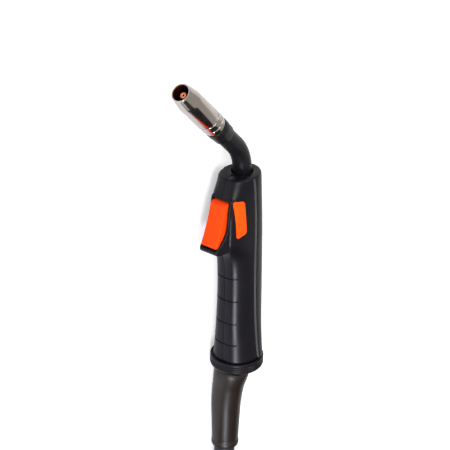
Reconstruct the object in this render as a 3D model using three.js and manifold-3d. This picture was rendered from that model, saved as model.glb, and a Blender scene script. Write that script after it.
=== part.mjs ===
// A gooseneck MIG welding torch lying on a bench: two-shell pistol handle with its trigger, swan neck,
// gas nozzle, ball-jointed cable sleeve, coax cable in a coil, and the central plug at its far end.
// Millimetres. The torch group runs along +X from the ball joint to the neck, with the trigger towards +Y
// and the left shell up (+Z). It is turned half round, so in the part's frame the nozzle points to -X, the
// trigger to -Y, and the cable runs off to +X. The bench is Z = 0.
import * as THREE from "three";
import { mergeVertices } from "three/addons/utils/BufferGeometryUtils.js";
import Module from "manifold-3d";

const wasm = await Module();
wasm.setup();

// ---- driving dimensions ----
const gap = 0.3; // clearance between fixed pieces
const running = 0.35; // clearance between moving pieces

const handleLength = 152;
const shellWall = 2.4;
const topWall = 4;
const seam = 0.3;
const spineStep = 0.7;
const handleStations = [
  // along the handle: back, widest place, half width, front, half of the front flat
  { x: 0, back: 18.3, widest: -2.5, half: 18.1, front: 17.6, flat: 2.5 },
  { x: 10, back: 18.6, widest: -2, half: 16.9, front: 17.1, flat: 2.5 },
  { x: 30, back: 19.2, widest: -1.4, half: 15.3, front: 17, flat: 2.5 },
  { x: 50, back: 19.6, widest: -0.8, half: 14.6, front: 16.9, flat: 2.2 },
  { x: 71, back: 19.3, widest: 0, half: 14.4, front: 17.4, flat: 2.2 },
  { x: handleLength - 64, back: 18.6, widest: 0.4, half: 14.5, front: 19.6, flat: 2.8 },
  { x: handleLength - 55, back: 18, widest: 0.7, half: 14.6, front: 23.6, flat: 7 },
  { x: handleLength - 49, back: 17.7, widest: 0.9, half: 14.7, front: 25.8, flat: 9 },
  { x: handleLength - 32, back: 16.4, widest: 1.6, half: 14.8, front: 25.4, flat: 8.6 },
  { x: handleLength - 15, back: 15.4, widest: 2.8, half: 14.5, front: 23.6, flat: 6 },
  { x: handleLength - 6, back: 15.2, widest: 3.4, half: 14.2, front: 20.8, flat: 2.6 },
  { x: handleLength, back: 15, widest: 4, half: 13.6, front: 19, flat: 1.2 },
];
const gripGrooves = [14.7, 32.8, 52, 71];
const grooveWidth = 1;
const grooveDepth = 0.6;
const grooveHalfSpan = 10;

const collarRadius = 20.2;
const collarLength = 9;
const collarGap = 0.7;
const collarRidge = 0.5;
const spigotRadius = 16.9;
const spigotLength = 5;

const ballRadius = 15;
const ballInset = 3; // ball centre behind the shells' end
const ballTop = 8; // flat end of the ball inside the handle
const sleeveNeck = 11; // sleeve radius where it leaves the ball
const sleeveLean = 16; // degrees between handle and sleeve at rest
const sleeveFlare = 13.2;
const flareEnd = 17;
const sleeveRadius = 12;
const flareTaper = 14;
const sleeveTail = 9.9;
const sleeveLength = 84;
const sleeveBend = 140;

const cableRadius = 8;
const cableSlack = 0.4;

const neckBend = 45.5;
const neckBendRadius = 34;
const neckStraight = 34;
const neckCoreRadius = 5;
const neckCoreBore = 2.1;
const neckSleeveRadius = 7;
const neckHoleRadius = 8.2;
const neckCoreTail = 52; // core length inside the handle
const neckSleeveTail = 14; // sleeve length inside the handle

const nozzleRadius = 9;
const nozzleLength = 53;
const nozzleMouth = 6.9;
const nozzleBoreRear = 7.4;
const nozzleBoreFront = 5.7;
const nozzleCone = 13;
const nozzleBeads = [4.2, 10.6];
const insulatorLength = 16;
const insulatorRadius = 8.3;
const insulatorLap = 9;
const tipRadius = 3;
const tipLength = 25;
const tipBore = 0.6;
const tipRecess = 4;
const holderLength = 24;
const holderRadius = 4.4;
const holderFlange = 5.4;
const linerRadius = 1.6;

const socketRadius = 7.4;
const socketLength = 24;
const nutRadius = 8;
const nutLength = 12;
const ferruleRadius = 8.6;
const ferruleLength = 20;
const ferruleLap = 14;

const triggerBottom = handleLength - 48.2;
const triggerTop = handleLength - 15.6;
const triggerHalfWidth = 7;
const triggerPivotX = handleLength - 18.5;
const triggerPivotY = 20.2;
const triggerPinRadius = 1.5;
const pocketWall = 2;
const lipThickness = 3.6;
const lipReach = 38.6;
const lipOverhang = 0.7;
const cheekThickness = 2.2; // sides of the ledge, which wrap round the trigger's lower end
const cheekLength = 14;

const switchX = handleLength - 29; // the button's place along the handle
const switchLength = 12.8;
const switchHeight = 6.5;
const switchWidth = 5.8;
const switchTop = 14.6;
const buttonHeight = 2.2;
const buttonRadius = 1.2;
const leadRadius = 0.8;
const leadOffset = 2;

const screwRadius = 1.5;
const screwHeadRadius = 2.7;
const screwHeadHeight = 2;
const screwLength = 15;
const screwSeat = -8.4;
const screwPlaces = [
  [21, -12.6],
  [handleLength - 72, -13.2],
  [handleLength - 18, -11.6],
  [handleLength - 56.6, 15.2],
];

const badgeThickness = 1.1;
const badgeProud = 0.25;
const badgeCorners = [
  [handleLength - 14.2, 22.2],
  [handleLength - 15.4, 13.8],
  [handleLength - 41.6, 11.4],
  [handleLength - 43.8, 20.7],
];

const coilMeanRadius = 88;
const coilWide = 3; // turns side by side
const coilHigh = 2; // layers
const coilLift = 1.6;
const coilX = 215;
const coilY = -60;
const tieTurn = 200; // degrees round the coil
const tieWidth = 24;
const tieThickness = 1.2;

const plugX = 342;
const plugY = -34;
const plugTurn = -90; // degrees, the plug's axis seen from above
const plugHousingRadius = 18;
const plugHousingLength = 58;
const plugHousingWall = 2.4;
const plugNutRadius = 23.5;
const plugNutLength = 38;
const plugNutFlutes = 16;
const plugFlangeRadius = 17.4;
const plugFlangeLength = 7;
const plugSleeveLength = 46;
const spigotBore = 2.5;
const plugSpigotRadius = 6;
const plugSpigotLength = 22;
const pinRadius = 2;
const pinLength = 16;
const pinOffset = 11.5;

// ---- finishes ----
const finish = (color, roughness, metalness) =>
  new THREE.MeshStandardMaterial({ color, roughness, metalness });
const blackPlastic = finish(0x1d1c20, 0.42, 0);
const orangePlastic = finish(0xff5210, 0.4, 0);
const blackRubber = finish(0x17161a, 0.55, 0);
const nickel = finish(0xb9b2a6, 0.18, 1);
const copper = finish(0xc9764c, 0.3, 1);
const brass = finish(0xc2a05a, 0.32, 1);
const steel = finish(0x9a9ca0, 0.35, 1);
const redWire = finish(0x9c1f1a, 0.5, 0);

// ---- geometry helpers ----
const radians = THREE.MathUtils.degToRad;

// A closed three.js geometry as a solid, turned face out where its profile ran the other way.
function solid(geometry) {
  const bare = geometry.index ? geometry.toNonIndexed() : geometry.clone();
  bare.deleteAttribute("normal");
  bare.deleteAttribute("uv");
  const merged = mergeVertices(bare, 1e-4);
  const vertProperties = merged.attributes.position.array;
  const triVerts = Uint32Array.from(merged.index.array);
  const make = () => new wasm.Manifold(new wasm.Mesh({ numProp: 3, vertProperties, triVerts }));
  const made = make();
  if (made.volume() > 0) return made;
  triVerts.reverse();
  return make();
}

function geometryOf(body) {
  const { vertProperties, triVerts } = body.getMesh();
  const geometry = new THREE.BufferGeometry();
  geometry.setAttribute("position", new THREE.BufferAttribute(vertProperties, 3));
  geometry.setIndex(new THREE.BufferAttribute(triVerts, 1));
  geometry.computeVertexNormals();
  return geometry;
}

function named(name, body, material) {
  const mesh = new THREE.Mesh(geometryOf(body), material);
  mesh.name = name;
  return mesh;
}

// A turned piece on the X axis from [x, radius] pairs; with a bore its profile closes on itself.
function turned(profile, segments = 24) {
  const points = profile.map(([x, r]) => new THREE.Vector2(r, x));
  if (profile.every(([, r]) => r > 0)) points.push(points[0].clone());
  return solid(new THREE.LatheGeometry(points, segments).rotateZ(-Math.PI / 2));
}

// A tube on the X axis, from x0 to x1.
const pipe = (x0, x1, outer, bore, segments = 24) =>
  turned([[x0, outer], [x1, outer], [x1, bore], [x0, bore]], segments);
const rod = (x0, x1, radius, segments = 18) =>
  turned([[x0, 0], [x0, radius], [x1, radius], [x1, 0]], segments);

// A round rod along Z through (x, y).
const crossRod = (x, y, z0, z1, radius, segments = 8) =>
  solid(
    new THREE.CylinderGeometry(radius, radius, z1 - z0, segments)
      .rotateX(Math.PI / 2)
      .translate(x, y, (z0 + z1) / 2),
  );

const block = (x0, x1, y0, y1, z0, z1) =>
  solid(
    new THREE.BoxGeometry(x1 - x0, y1 - y0, z1 - z0).translate(
      (x0 + x1) / 2,
      (y0 + y1) / 2,
      (z0 + z1) / 2,
    ),
  );

// An outline in X and Y with round corners, as a plate from z0 to z1.
function plate(corners, radius, z0, z1) {
  const shape = new THREE.Shape();
  corners.forEach(([x, y], i) => {
    const here = new THREE.Vector2(x, y);
    const before = new THREE.Vector2(...corners.at(i - 1));
    const after = new THREE.Vector2(...corners[(i + 1) % corners.length]);
    const start = here.clone().add(before.sub(here).setLength(radius));
    const end = here.clone().add(after.sub(here).setLength(radius));
    if (i === 0) shape.moveTo(start.x, start.y);
    else shape.lineTo(start.x, start.y);
    shape.quadraticCurveTo(x, y, end.x, end.y);
  });
  const depth = z1 - z0;
  const options = { depth, bevelEnabled: false, curveSegments: 4 };
  return solid(new THREE.ExtrudeGeometry(shape, options).translate(0, 0, z0));
}

// Joins rings of equal count into one closed skin, with a fan over each end.
function loft(rings) {
  const count = rings[0].length;
  const points = rings.flat();
  const faces = [];
  for (let r = 0; r + 1 < rings.length; r++) {
    for (let i = 0; i < count; i++) {
      const j = (i + 1) % count;
      const [a, b] = [r * count + i, r * count + j];
      faces.push(a, b, b + count, a, b + count, a + count);
    }
  }
  for (const first of [0, (rings.length - 1) * count]) {
    const ring = rings[first / count];
    const middle = ring.reduce((sum, p) => sum.add(p), new THREE.Vector3()).divideScalar(count);
    points.push(middle);
    for (let i = 0; i < count; i++) {
      const pair = [first + i, first + ((i + 1) % count)];
      if (first === 0) pair.reverse();
      faces.push(points.length - 1, ...pair);
    }
  }
  const geometry = new THREE.BufferGeometry().setFromPoints(points);
  geometry.setIndex(faces);
  return solid(geometry);
}

// A round section swept along a curve, with its radius given along the way from 0 to 1.
function swept(curve, radiusAt, steps, sides) {
  const frames = curve.computeFrenetFrames(steps, false);
  const rings = [];
  for (let i = 0; i <= steps; i++) {
    const centre = curve.getPointAt(i / steps);
    const radius = radiusAt(i / steps);
    const ring = [];
    for (let k = 0; k < sides; k++) {
      const turn = (2 * Math.PI * k) / sides;
      ring.push(
        centre
          .clone()
          .addScaledVector(frames.normals[i], radius * Math.cos(turn))
          .addScaledVector(frames.binormals[i], radius * Math.sin(turn)),
      );
    }
    rings.push(ring);
  }
  return loft(rings);
}

// ---- the handle's outline ----
// Sizes of the handle's section at x, on a smooth curve through the stations.
function stationAt(x) {
  const last = handleStations.length - 1;
  const i = Math.min(Math.max(handleStations.findLastIndex((s) => s.x <= x), 0), last - 1);
  const [a, b] = [handleStations[i], handleStations[i + 1]];
  const [before, after] = [handleStations[Math.max(i - 1, 0)], handleStations[Math.min(i + 2, last)]];
  const t = (x - a.x) / (b.x - a.x);
  const value = (key) => {
    const slopeA = ((b[key] - before[key]) / (b.x - before.x)) * (b.x - a.x);
    const slopeB = ((after[key] - a[key]) / (after.x - a.x)) * (b.x - a.x);
    return THREE.MathUtils.lerp(a[key], b[key], t * t * (3 - 2 * t))
      + (t ** 3 - 2 * t * t + t) * slopeA + (t ** 3 - t * t) * slopeB;
  };
  return Object.fromEntries(["back", "widest", "half", "front", "flat"].map((k) => [k, value(k)]));
}

// The handle's section, pulled in by inset: a flat front, two quarter ovals, and a spine that stands proud.
function section(x, inset) {
  const { back, widest, half, front, flat } = stationAt(x);
  const arcSteps = 6;
  const side = [];
  const quarter = (i) => (Math.PI / 2) * (i / arcSteps);
  const frontFlat = Math.max(flat - 0.4 * inset, 1);
  for (let i = 0; i <= arcSteps; i++) {
    const y = widest + (front - inset - widest) * Math.cos(quarter(i));
    side.push([y, frontFlat + (half - inset - frontFlat) * Math.sin(quarter(i))]);
  }
  const spineTop = widest - spineStep;
  for (let i = 0; i <= arcSteps; i++) {
    const y = spineTop - (back - inset + spineTop) * Math.sin(quarter(i));
    side.push([y, (half + spineStep - inset) * Math.cos(quarter(i))]);
  }
  side.at(-1)[1] = 0;
  const mirrored = side.slice(0, -1).reverse().map(([y, z]) => [y, -z]);
  return [...side, ...mirrored].map(([y, z]) => new THREE.Vector3(x, y, z));
}

// The whole handle's form between two places along it, pulled in by inset.
function handleForm(inset, from = 0, to = handleLength) {
  const places = handleStations.map((s) => s.x);
  const inside = places.filter((x) => x > from + 0.5 && x < to - 0.5);
  return loft([from, ...inside, to].map((x) => section(x, inset)));
}

// ---- places that follow from the sizes ----
const ballX = -ballInset;
const coreTailX = handleLength - neckCoreTail;
const socketEnd = coreTailX + socketLength / 2;
const socketStart = coreTailX - socketLength / 2;
const nutStart = socketStart - gap - nutLength;
const ferruleStart = nutStart - gap - ferruleLength;
const stubEnd = ferruleStart + ferruleLap;
const seatRadius = ballRadius + running;
const pocketHalf = triggerHalfWidth + gap;
const pocketStart = triggerBottom - 1;
const pocketEnd = triggerTop + 1.1;
const shelfY = switchTop - 1.4;
const shelfX = switchX - switchLength / 2 - 4.6;
const leadY = socketRadius + 1.7 + leadRadius;
const big = 60;

// ---- handle shells ----
function handleShells() {
  const outer = handleForm(0);
  const within = (piece) => piece.intersect(outer);
  const cavityStart = ballX + seatRadius + 1.6;
  let body = outer.subtract(handleForm(shellWall, cavityStart, handleLength - topWall));

  const grip = handleForm(grooveDepth);
  for (const x of gripGrooves) {
    const band = block(x - grooveWidth / 2, x + grooveWidth / 2, 8, big, -grooveHalfSpan, grooveHalfSpan);
    body = body.subtract(band.subtract(grip));
  }

  // Ribs across the inside, each bored for what it holds.
  const leadNotch = block(0, handleLength, cableRadius, leadY + leadRadius + 0.6, -3.4, 3.4);
  const rib = (x, thickness, bore) =>
    within(block(x, x + thickness, -big, big, -big, big))
      .subtract(rod(x - 1, x + thickness + 1, bore))
      .subtract(leadNotch);
  body = body
    .add(rib(ferruleStart - 4, 2, cableRadius + gap))
    .add(rib(socketStart + 2, 2, socketRadius + gap))
    .add(rib(socketEnd - 4, 2, socketRadius + gap))
    .add(rib(handleLength - neckSleeveTail + 1, 2, neckSleeveRadius + gap));

  // Walls and floor of the trigger's pocket, and the ledge below it.
  const shaft = (extra, floor) =>
    block(pocketStart - extra, pocketEnd + extra, floor, big, -pocketHalf - extra, pocketHalf + extra);
  body = body.add(within(shaft(pocketWall, shelfY - 1.8)));
  const lip = plate(
    [
      [pocketStart - lipThickness - 4, 18],
      [pocketStart - lipThickness - 0.6, lipReach - 8],
      [pocketStart - lipThickness + 0.6, lipReach],
      [pocketStart - 0.2, lipReach],
      [pocketStart, 18],
    ],
    0.9,
    -pocketHalf - lipOverhang,
    pocketHalf + lipOverhang,
  );
  const cheek = plate(
    [
      [pocketStart - 3.2, 18],
      [pocketStart - 2.6, lipReach - 5.6],
      [pocketStart + 1, lipReach - 4.4],
      [pocketStart + cheekLength * 0.5, 30.4],
      [pocketStart + cheekLength, 24],
      [pocketStart + cheekLength, 18],
    ],
    0.9,
    -pocketHalf - cheekThickness,
    pocketHalf + cheekThickness,
  );
  body = body.add(lip).add(cheek);

  // Screw bosses, and pegs for the microswitch.
  for (const [x, y] of screwPlaces) body = body.add(within(crossRod(x, y, -big, big, screwHeadRadius + 1.2)));
  for (const [x, y] of switchPegs) body = body.add(within(crossRod(x, y, -big, big, 0.9, 10)));

  // Everything that is cut through both shells.
  body = body
    .add(rod(-spigotLength, 1, spigotRadius, 24))
    .subtract(solid(new THREE.SphereGeometry(seatRadius, 20, 10).translate(ballX, 0, 0)))
    .subtract(rod(0, cavityStart + 1, cableRadius + gap))
    .subtract(rod(handleLength - topWall - 1, handleLength + 1, neckHoleRadius, 24))
    .subtract(shaft(0, shelfY))
    .subtract(crossRod(triggerPivotX, triggerPivotY, -pinHalf - gap, pinHalf + gap, triggerPinRadius + gap / 2))
    .subtract(block(switchX - switchLength / 2 - gap, switchX + switchLength / 2 + gap,
      0, switchTop + gap, -switchWidth / 2 - gap, switchWidth / 2 + gap));
  for (const [x, y] of switchPegs) body = body.add(crossRod(x, y, -switchWidth / 2 - 1, switchWidth / 2 + 1, 0.9, 10));
  for (const [x, y] of screwPlaces) {
    body = body
      .subtract(crossRod(x, y, screwSeat - 1, screwSeat + screwLength + 1, screwRadius + gap))
      .subtract(crossRod(x, y, -big, screwSeat, screwHeadRadius + gap));
  }
  body = body.subtract(badgePrism(gap).subtract(handleForm(badgeThickness + gap)));

  const left = body.intersect(block(-big, handleLength + 1, -big, big, seam / 2, big));
  const right = body.intersect(block(-big, handleLength + 1, -big, big, -big, -seam / 2));
  return [
    named("handle_shell_left", left, blackPlastic),
    named("handle_shell_right", right, blackPlastic),
  ];
}

const pinHalf = pocketHalf + pocketWall - 0.8;
const switchPegs = [
  [switchX - 3.8, switchTop - 4.8],
  [switchX + 3.8, switchTop - 2],
];

// The badge's slanted outline, grown all round, through the left shell.
function badgePrism(growth) {
  const middle = badgeCorners.reduce(([sx, sy], [x, y]) => [sx + x / 4, sy + y / 4], [0, 0]);
  const grown = badgeCorners.map(([x, y]) => [
    x + growth * Math.sign(x - middle[0]),
    y + growth * Math.sign(y - middle[1]),
  ]);
  return plate(grown, 2.2, 6, 30);
}

const badgePlate = () =>
  named(
    "badge_plate",
    badgePrism(0).intersect(handleForm(-badgeProud)).subtract(handleForm(badgeThickness)),
    orangePlastic,
  );

function shellScrew(place, index) {
  const [x, y] = place;
  const head = crossRod(x, y, screwSeat - screwHeadHeight, screwSeat - gap / 2, screwHeadRadius, 20);
  const shank = crossRod(x, y, screwSeat - 1, screwSeat + screwLength, screwRadius, 12);
  return named(`shell_screw_${index + 1}`, head.add(shank), steel);
}

// The ring that clips over the shells' end: ridged outside, with the front half of the ball's seat inside.
function collarRing() {
  const end = -collarGap - collarLength;
  const pitch = (collarLength - 3) / 3;
  const profile = [[end, 0], [end, collarRadius - 2.4], [end + 0.7, collarRadius - 1.2]];
  for (let i = 0; i < 3; i++) {
    const x = end + 1.6 + i * pitch;
    profile.push([x, collarRadius], [x + pitch - 1, collarRadius], [x + pitch - 0.5, collarRadius - collarRidge]);
  }
  profile.push([-collarGap - 1, collarRadius], [-collarGap, collarRadius - 0.6], [-collarGap, 0]);
  const ring = turned(profile, 28)
    .subtract(rod(-spigotLength - gap, 1, spigotRadius + gap, 24))
    .subtract(solid(new THREE.SphereGeometry(seatRadius, 20, 10).translate(ballX, 0, 0)));
  return named("collar_ring", ring, blackPlastic);
}

// ---- trigger and switch ----
function trigger() {
  const outline = [
    [triggerTop, 18.4],
    [triggerTop, 25.4],
    [triggerTop - 1.4, 28],
    [switchX - 1, 31.6],
    [triggerBottom + 2.4, 38],
    [triggerBottom + 0.6, 36.8],
    [triggerBottom, 27.6],
    [triggerBottom + 1.4, 19],
  ];
  const hollow = [
    [triggerPivotX - 3.4, 12],
    [triggerPivotX - 3.4, 26.2],
    [switchX - 1, 29.2],
    [triggerBottom + 4.6, 34.6],
    [triggerBottom + 3.6, 12],
  ];
  const inner = triggerHalfWidth - 1.6;
  const button = switchTop + buttonHeight + gap;
  const body = plate(outline, 0.8, -triggerHalfWidth, triggerHalfWidth)
    .subtract(plate(hollow, 0.6, -inner, inner))
    .add(block(switchX - 1.3, switchX + 1.3, button, 30, -2, 2))
    .add(block(switchX - 0.8, switchX + 0.8, 24, 30, -inner - 0.5, inner + 0.5))
    .add(block(shelfX - 3.4, shelfX + 3.4, triggerWeb, triggerWeb + 1.6, -inner - 0.5, inner + 0.5))
    .subtract(crossRod(triggerPivotX, triggerPivotY, -big, big, triggerPinRadius + running));
  return named("trigger", body, orangePlastic);
}

const triggerWeb = shelfY + 8;

// A helical spring of round wire, axis along +X from 0.
function helix(length, meanRadius, wire, turns, sides = 6, steps = 12) {
  class Helix extends THREE.Curve {
    getPoint(t, target = new THREE.Vector3()) {
      const turn = 2 * Math.PI * turns * t;
      const x = wire + (length - 2 * wire) * t;
      return target.set(x, meanRadius * Math.cos(turn), meanRadius * Math.sin(turn));
    }
  }
  return swept(new Helix(), () => wire, turns * steps, sides);
}

function triggerSpring() {
  const spring = named("trigger_spring", helix(triggerWeb - shelfY - 2 * gap, 2.2, 0.35, 4, 4, 10), steel);
  spring.rotation.z = Math.PI / 2;
  spring.position.set(shelfX, shelfY + gap, 0);
  return spring;
}

function microswitch() {
  const half = switchLength / 2;
  let body = block(switchX - half, switchX + half, switchTop - switchHeight, switchTop,
    -switchWidth / 2, switchWidth / 2);
  for (const [x, y] of switchPegs) body = body.subtract(crossRod(x, y, -big, big, 0.9 + gap, 10));
  const bore = solid(
    new THREE.CylinderGeometry(buttonRadius + gap, buttonRadius + gap, 6, 16).translate(switchX, switchTop + 0.4, 0),
  );
  const button = solid(
    new THREE.CylinderGeometry(buttonRadius, buttonRadius, buttonHeight + 1.4, 16)
      .translate(switchX, switchTop + (buttonHeight - 1.4) / 2, 0),
  );
  const leads = [1, -1].map((side) => {
    const route = new THREE.CatmullRomCurve3(
      [
        [switchX - half - gap, leadY],
        [socketEnd - 6, leadY],
        [nutStart, leadY],
        [ferruleStart + 2, leadY],
        [ferruleStart - 10, cableRadius + leadRadius + gap],
      ].map(([x, y]) => new THREE.Vector3(x, y, side * leadOffset)),
    );
    return named(side > 0 ? "switch_lead_a" : "switch_lead_b", swept(route, () => leadRadius, 14, 6), redWire);
  });
  return [
    named("switch_body", body.subtract(bore), blackPlastic),
    named("switch_button", button, redWire),
    ...leads,
  ];
}

// ---- swan neck ----
const neckArc = neckBendRadius * radians(neckBend);
const neckEnd = neckArc + neckStraight;

// A round section of the neck at distance s from the handle's top face.
function neckRing(s, radius, sides) {
  const turn = Math.min(Math.max(s / neckBendRadius, 0), radians(neckBend));
  const direction = new THREE.Vector3(Math.cos(turn), Math.sin(turn), 0);
  const across = new THREE.Vector3(-Math.sin(turn), Math.cos(turn), 0);
  const centre = new THREE.Vector3(handleLength, 0, 0)
    .add(new THREE.Vector3(Math.sin(turn), 1 - Math.cos(turn), 0).multiplyScalar(neckBendRadius))
    .addScaledVector(direction, s < 0 ? s : Math.max(s - neckArc, 0));
  const ring = [];
  for (let k = 0; k < sides; k++) {
    const a = (2 * Math.PI * k) / sides;
    const point = centre.clone().addScaledVector(across, radius * Math.cos(a));
    ring.push(point.addScaledVector(new THREE.Vector3(0, 0, 1), radius * Math.sin(a)));
  }
  return ring;
}

function neckTube(from, to, radius, sides) {
  const steps = 7;
  const places = [];
  for (let i = 0; i <= steps; i++) places.push((neckArc * i) / steps);
  const inside = places.filter((s) => s > from && s < to);
  return loft([from, ...inside, to].map((s) => neckRing(s, radius, sides)));
}

function neck() {
  const noseReach = 6;
  const sleeveEnd = neckEnd - insulatorLength + insulatorLap;
  const core = neckTube(-neckCoreTail, neckEnd + noseReach, neckCoreRadius, 12)
    .subtract(neckTube(-neckCoreTail - 1, neckEnd + noseReach + 1, neckCoreBore, 8));
  const cover = neckTube(-neckSleeveTail, sleeveEnd, neckSleeveRadius, 16)
    .subtract(neckTube(-neckSleeveTail - 1, sleeveEnd + 1, neckCoreRadius + gap, 12));
  const holderStart = noseReach + gap;
  const tipStart = nozzleLength - tipRecess - tipLength;
  const liner = neckTube(socketStart - handleLength, neckEnd + tipStart - 2, linerRadius, 8);

  const nose = new THREE.Group();
  const at = neckRing(neckEnd, 0, 1)[0];
  nose.position.copy(at);
  nose.rotation.z = radians(neckBend);

  const insulator = turned(
    [
      [-insulatorLength, neckSleeveRadius + gap],
      [-insulatorLength, neckSleeveRadius + 0.8],
      [-insulatorLength + 1.2, insulatorRadius - 0.6],
      [-insulatorLength + 3, insulatorRadius - 0.3],
      [-gap, insulatorRadius],
      [-gap, neckCoreRadius + gap],
      [-insulatorLength + insulatorLap + gap, neckCoreRadius + gap],
      [-insulatorLength + insulatorLap + gap, neckSleeveRadius + gap],
    ],
    24,
  );
  const retainer = helix(5, neckCoreRadius + 1.2, 0.55, 3, 4, 12);
  const retainerMesh = named("nozzle_spring", retainer, steel);
  retainerMesh.position.x = 0.5;
  const [beadRear, beadFront] = nozzleBeads;
  const nozzle = turned(
    [
      [0, nozzleRadius - 0.5],
      [beadRear - 1, nozzleRadius - 0.5],
      [beadRear - 0.5, nozzleRadius],
      [beadRear + 0.5, nozzleRadius],
      [beadRear + 1, nozzleRadius - 0.4],
      [beadFront - 1, nozzleRadius - 0.4],
      [beadFront - 0.5, nozzleRadius + 0.1],
      [beadFront + 0.5, nozzleRadius + 0.1],
      [beadFront + 1, nozzleRadius - 0.1],
      [nozzleLength - nozzleCone, nozzleRadius - 0.1],
      [nozzleLength - nozzleCone + 2, nozzleRadius - 0.5],
      [nozzleLength - 0.5, nozzleMouth],
      [nozzleLength, nozzleMouth - 0.4],
      [nozzleLength, nozzleBoreFront],
      [nozzleLength - nozzleCone, nozzleBoreFront + 0.5],
      [12, nozzleBoreRear],
      [0, nozzleBoreRear],
    ],
    24,
  );
  let holder = turned(
    [
      [holderStart, neckCoreBore],
      [holderStart, holderFlange],
      [holderStart + 3, holderFlange],
      [holderStart + 3, holderRadius],
      [holderStart + holderLength, holderRadius],
      [holderStart + holderLength, tipRadius + gap],
      [tipStart - gap, tipRadius + gap],
      [tipStart - gap, neckCoreBore],
    ],
    16,
  );
  const port = crossRod(holderStart + 10, 0, -8, 8, 0.9, 8);
  holder = holder.subtract(port).subtract(port.rotate(90, 0, 0));
  const tip = turned(
    [
      [tipStart, tipBore],
      [tipStart, tipRadius],
      [tipStart + tipLength - 2.6, tipRadius],
      [tipStart + tipLength, tipRadius - 1],
      [tipStart + tipLength, tipBore],
    ],
    24,
  );
  nose.add(
    named("neck_insulator", insulator, blackRubber),
    retainerMesh,
    named("gas_nozzle", nozzle, nickel),
    named("tip_holder", holder, brass),
    named("contact_tip", tip, copper),
  );
  return [
    named("neck_core", core, copper),
    named("neck_sleeve", cover, blackRubber),
    named("liner", liner, steel),
    nose,
  ];
}

// ---- current and gas connection inside the handle ----
function connection() {
  const hexagon = (x0, x1, radius) =>
    solid(new THREE.CylinderGeometry(radius, radius, x1 - x0, 6).rotateZ(-Math.PI / 2).translate((x0 + x1) / 2, 0, 0));
  const socket = rod(socketStart, socketEnd, socketRadius)
    .subtract(rod(coreTailX - gap, socketEnd + 1, neckCoreRadius + gap))
    .subtract(rod(socketStart - 1, socketEnd, linerRadius + 1));
  const nut = hexagon(nutStart, nutStart + nutLength, nutRadius).subtract(rod(nutStart - 1, socketStart, 3));
  const ferrule = rod(ferruleStart, ferruleStart + ferruleLength, ferruleRadius)
    .subtract(rod(ferruleStart - 1, stubEnd + gap, cableRadius + gap))
    .subtract(rod(ferruleStart, nutStart, 3));
  return [
    named("neck_socket", socket, brass),
    named("cable_nut", nut, brass),
    named("crimp_ferrule", ferrule, brass),
    named("cable_stub", rod(ballX + 1.5, stubEnd, cableRadius), blackRubber),
  ];
}

const triggerPin = () =>
  named("trigger_pin", crossRod(triggerPivotX, triggerPivotY, -pinHalf, pinHalf, triggerPinRadius), steel);

// ---- ball joint and cable sleeve ----
const lean = radians(sleeveLean);
const sleeveStart = ballRadius - 4.3;
const bendStart = 13;
const bendLength = sleeveBend * lean;

// Centre and direction of the sleeve's line at distance t behind the ball's centre.
function sleeveLine(t) {
  const turned = Math.min(Math.max((t - bendStart) / sleeveBend, 0), lean);
  const left = lean - turned;
  const along = Math.min(t, bendStart);
  const after = Math.max(t - bendStart - bendLength, 0);
  const x = along * Math.cos(lean) + sleeveBend * (Math.sin(lean) - Math.sin(left)) + after;
  const z = along * Math.sin(lean) + sleeveBend * (Math.cos(left) - Math.cos(lean));
  return { centre: new THREE.Vector3(ballX - x, 0, -z), tilt: left };
}

function sleeveRing(t, radius, sides) {
  const { centre, tilt } = sleeveLine(t);
  const up = new THREE.Vector3(-Math.sin(tilt), 0, Math.cos(tilt));
  const ring = [];
  for (let k = 0; k < sides; k++) {
    const a = (2 * Math.PI * k) / sides;
    const point = centre.clone().addScaledVector(up, radius * Math.cos(a));
    point.y += radius * Math.sin(a);
    ring.push(point);
  }
  return ring;
}

// Places along the sleeve's line, close enough for its bend.
const sleevePlaces = (from, to, step = 12) => {
  const count = Math.ceil((to - from) / step);
  return Array.from({ length: count + 1 }, (_, i) => from + ((to - from) * i) / count);
};

const sleeveTube = (from, to, radius, sides) =>
  loft(sleevePlaces(from, to).map((t) => sleeveRing(t, radius, sides)));

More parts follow.
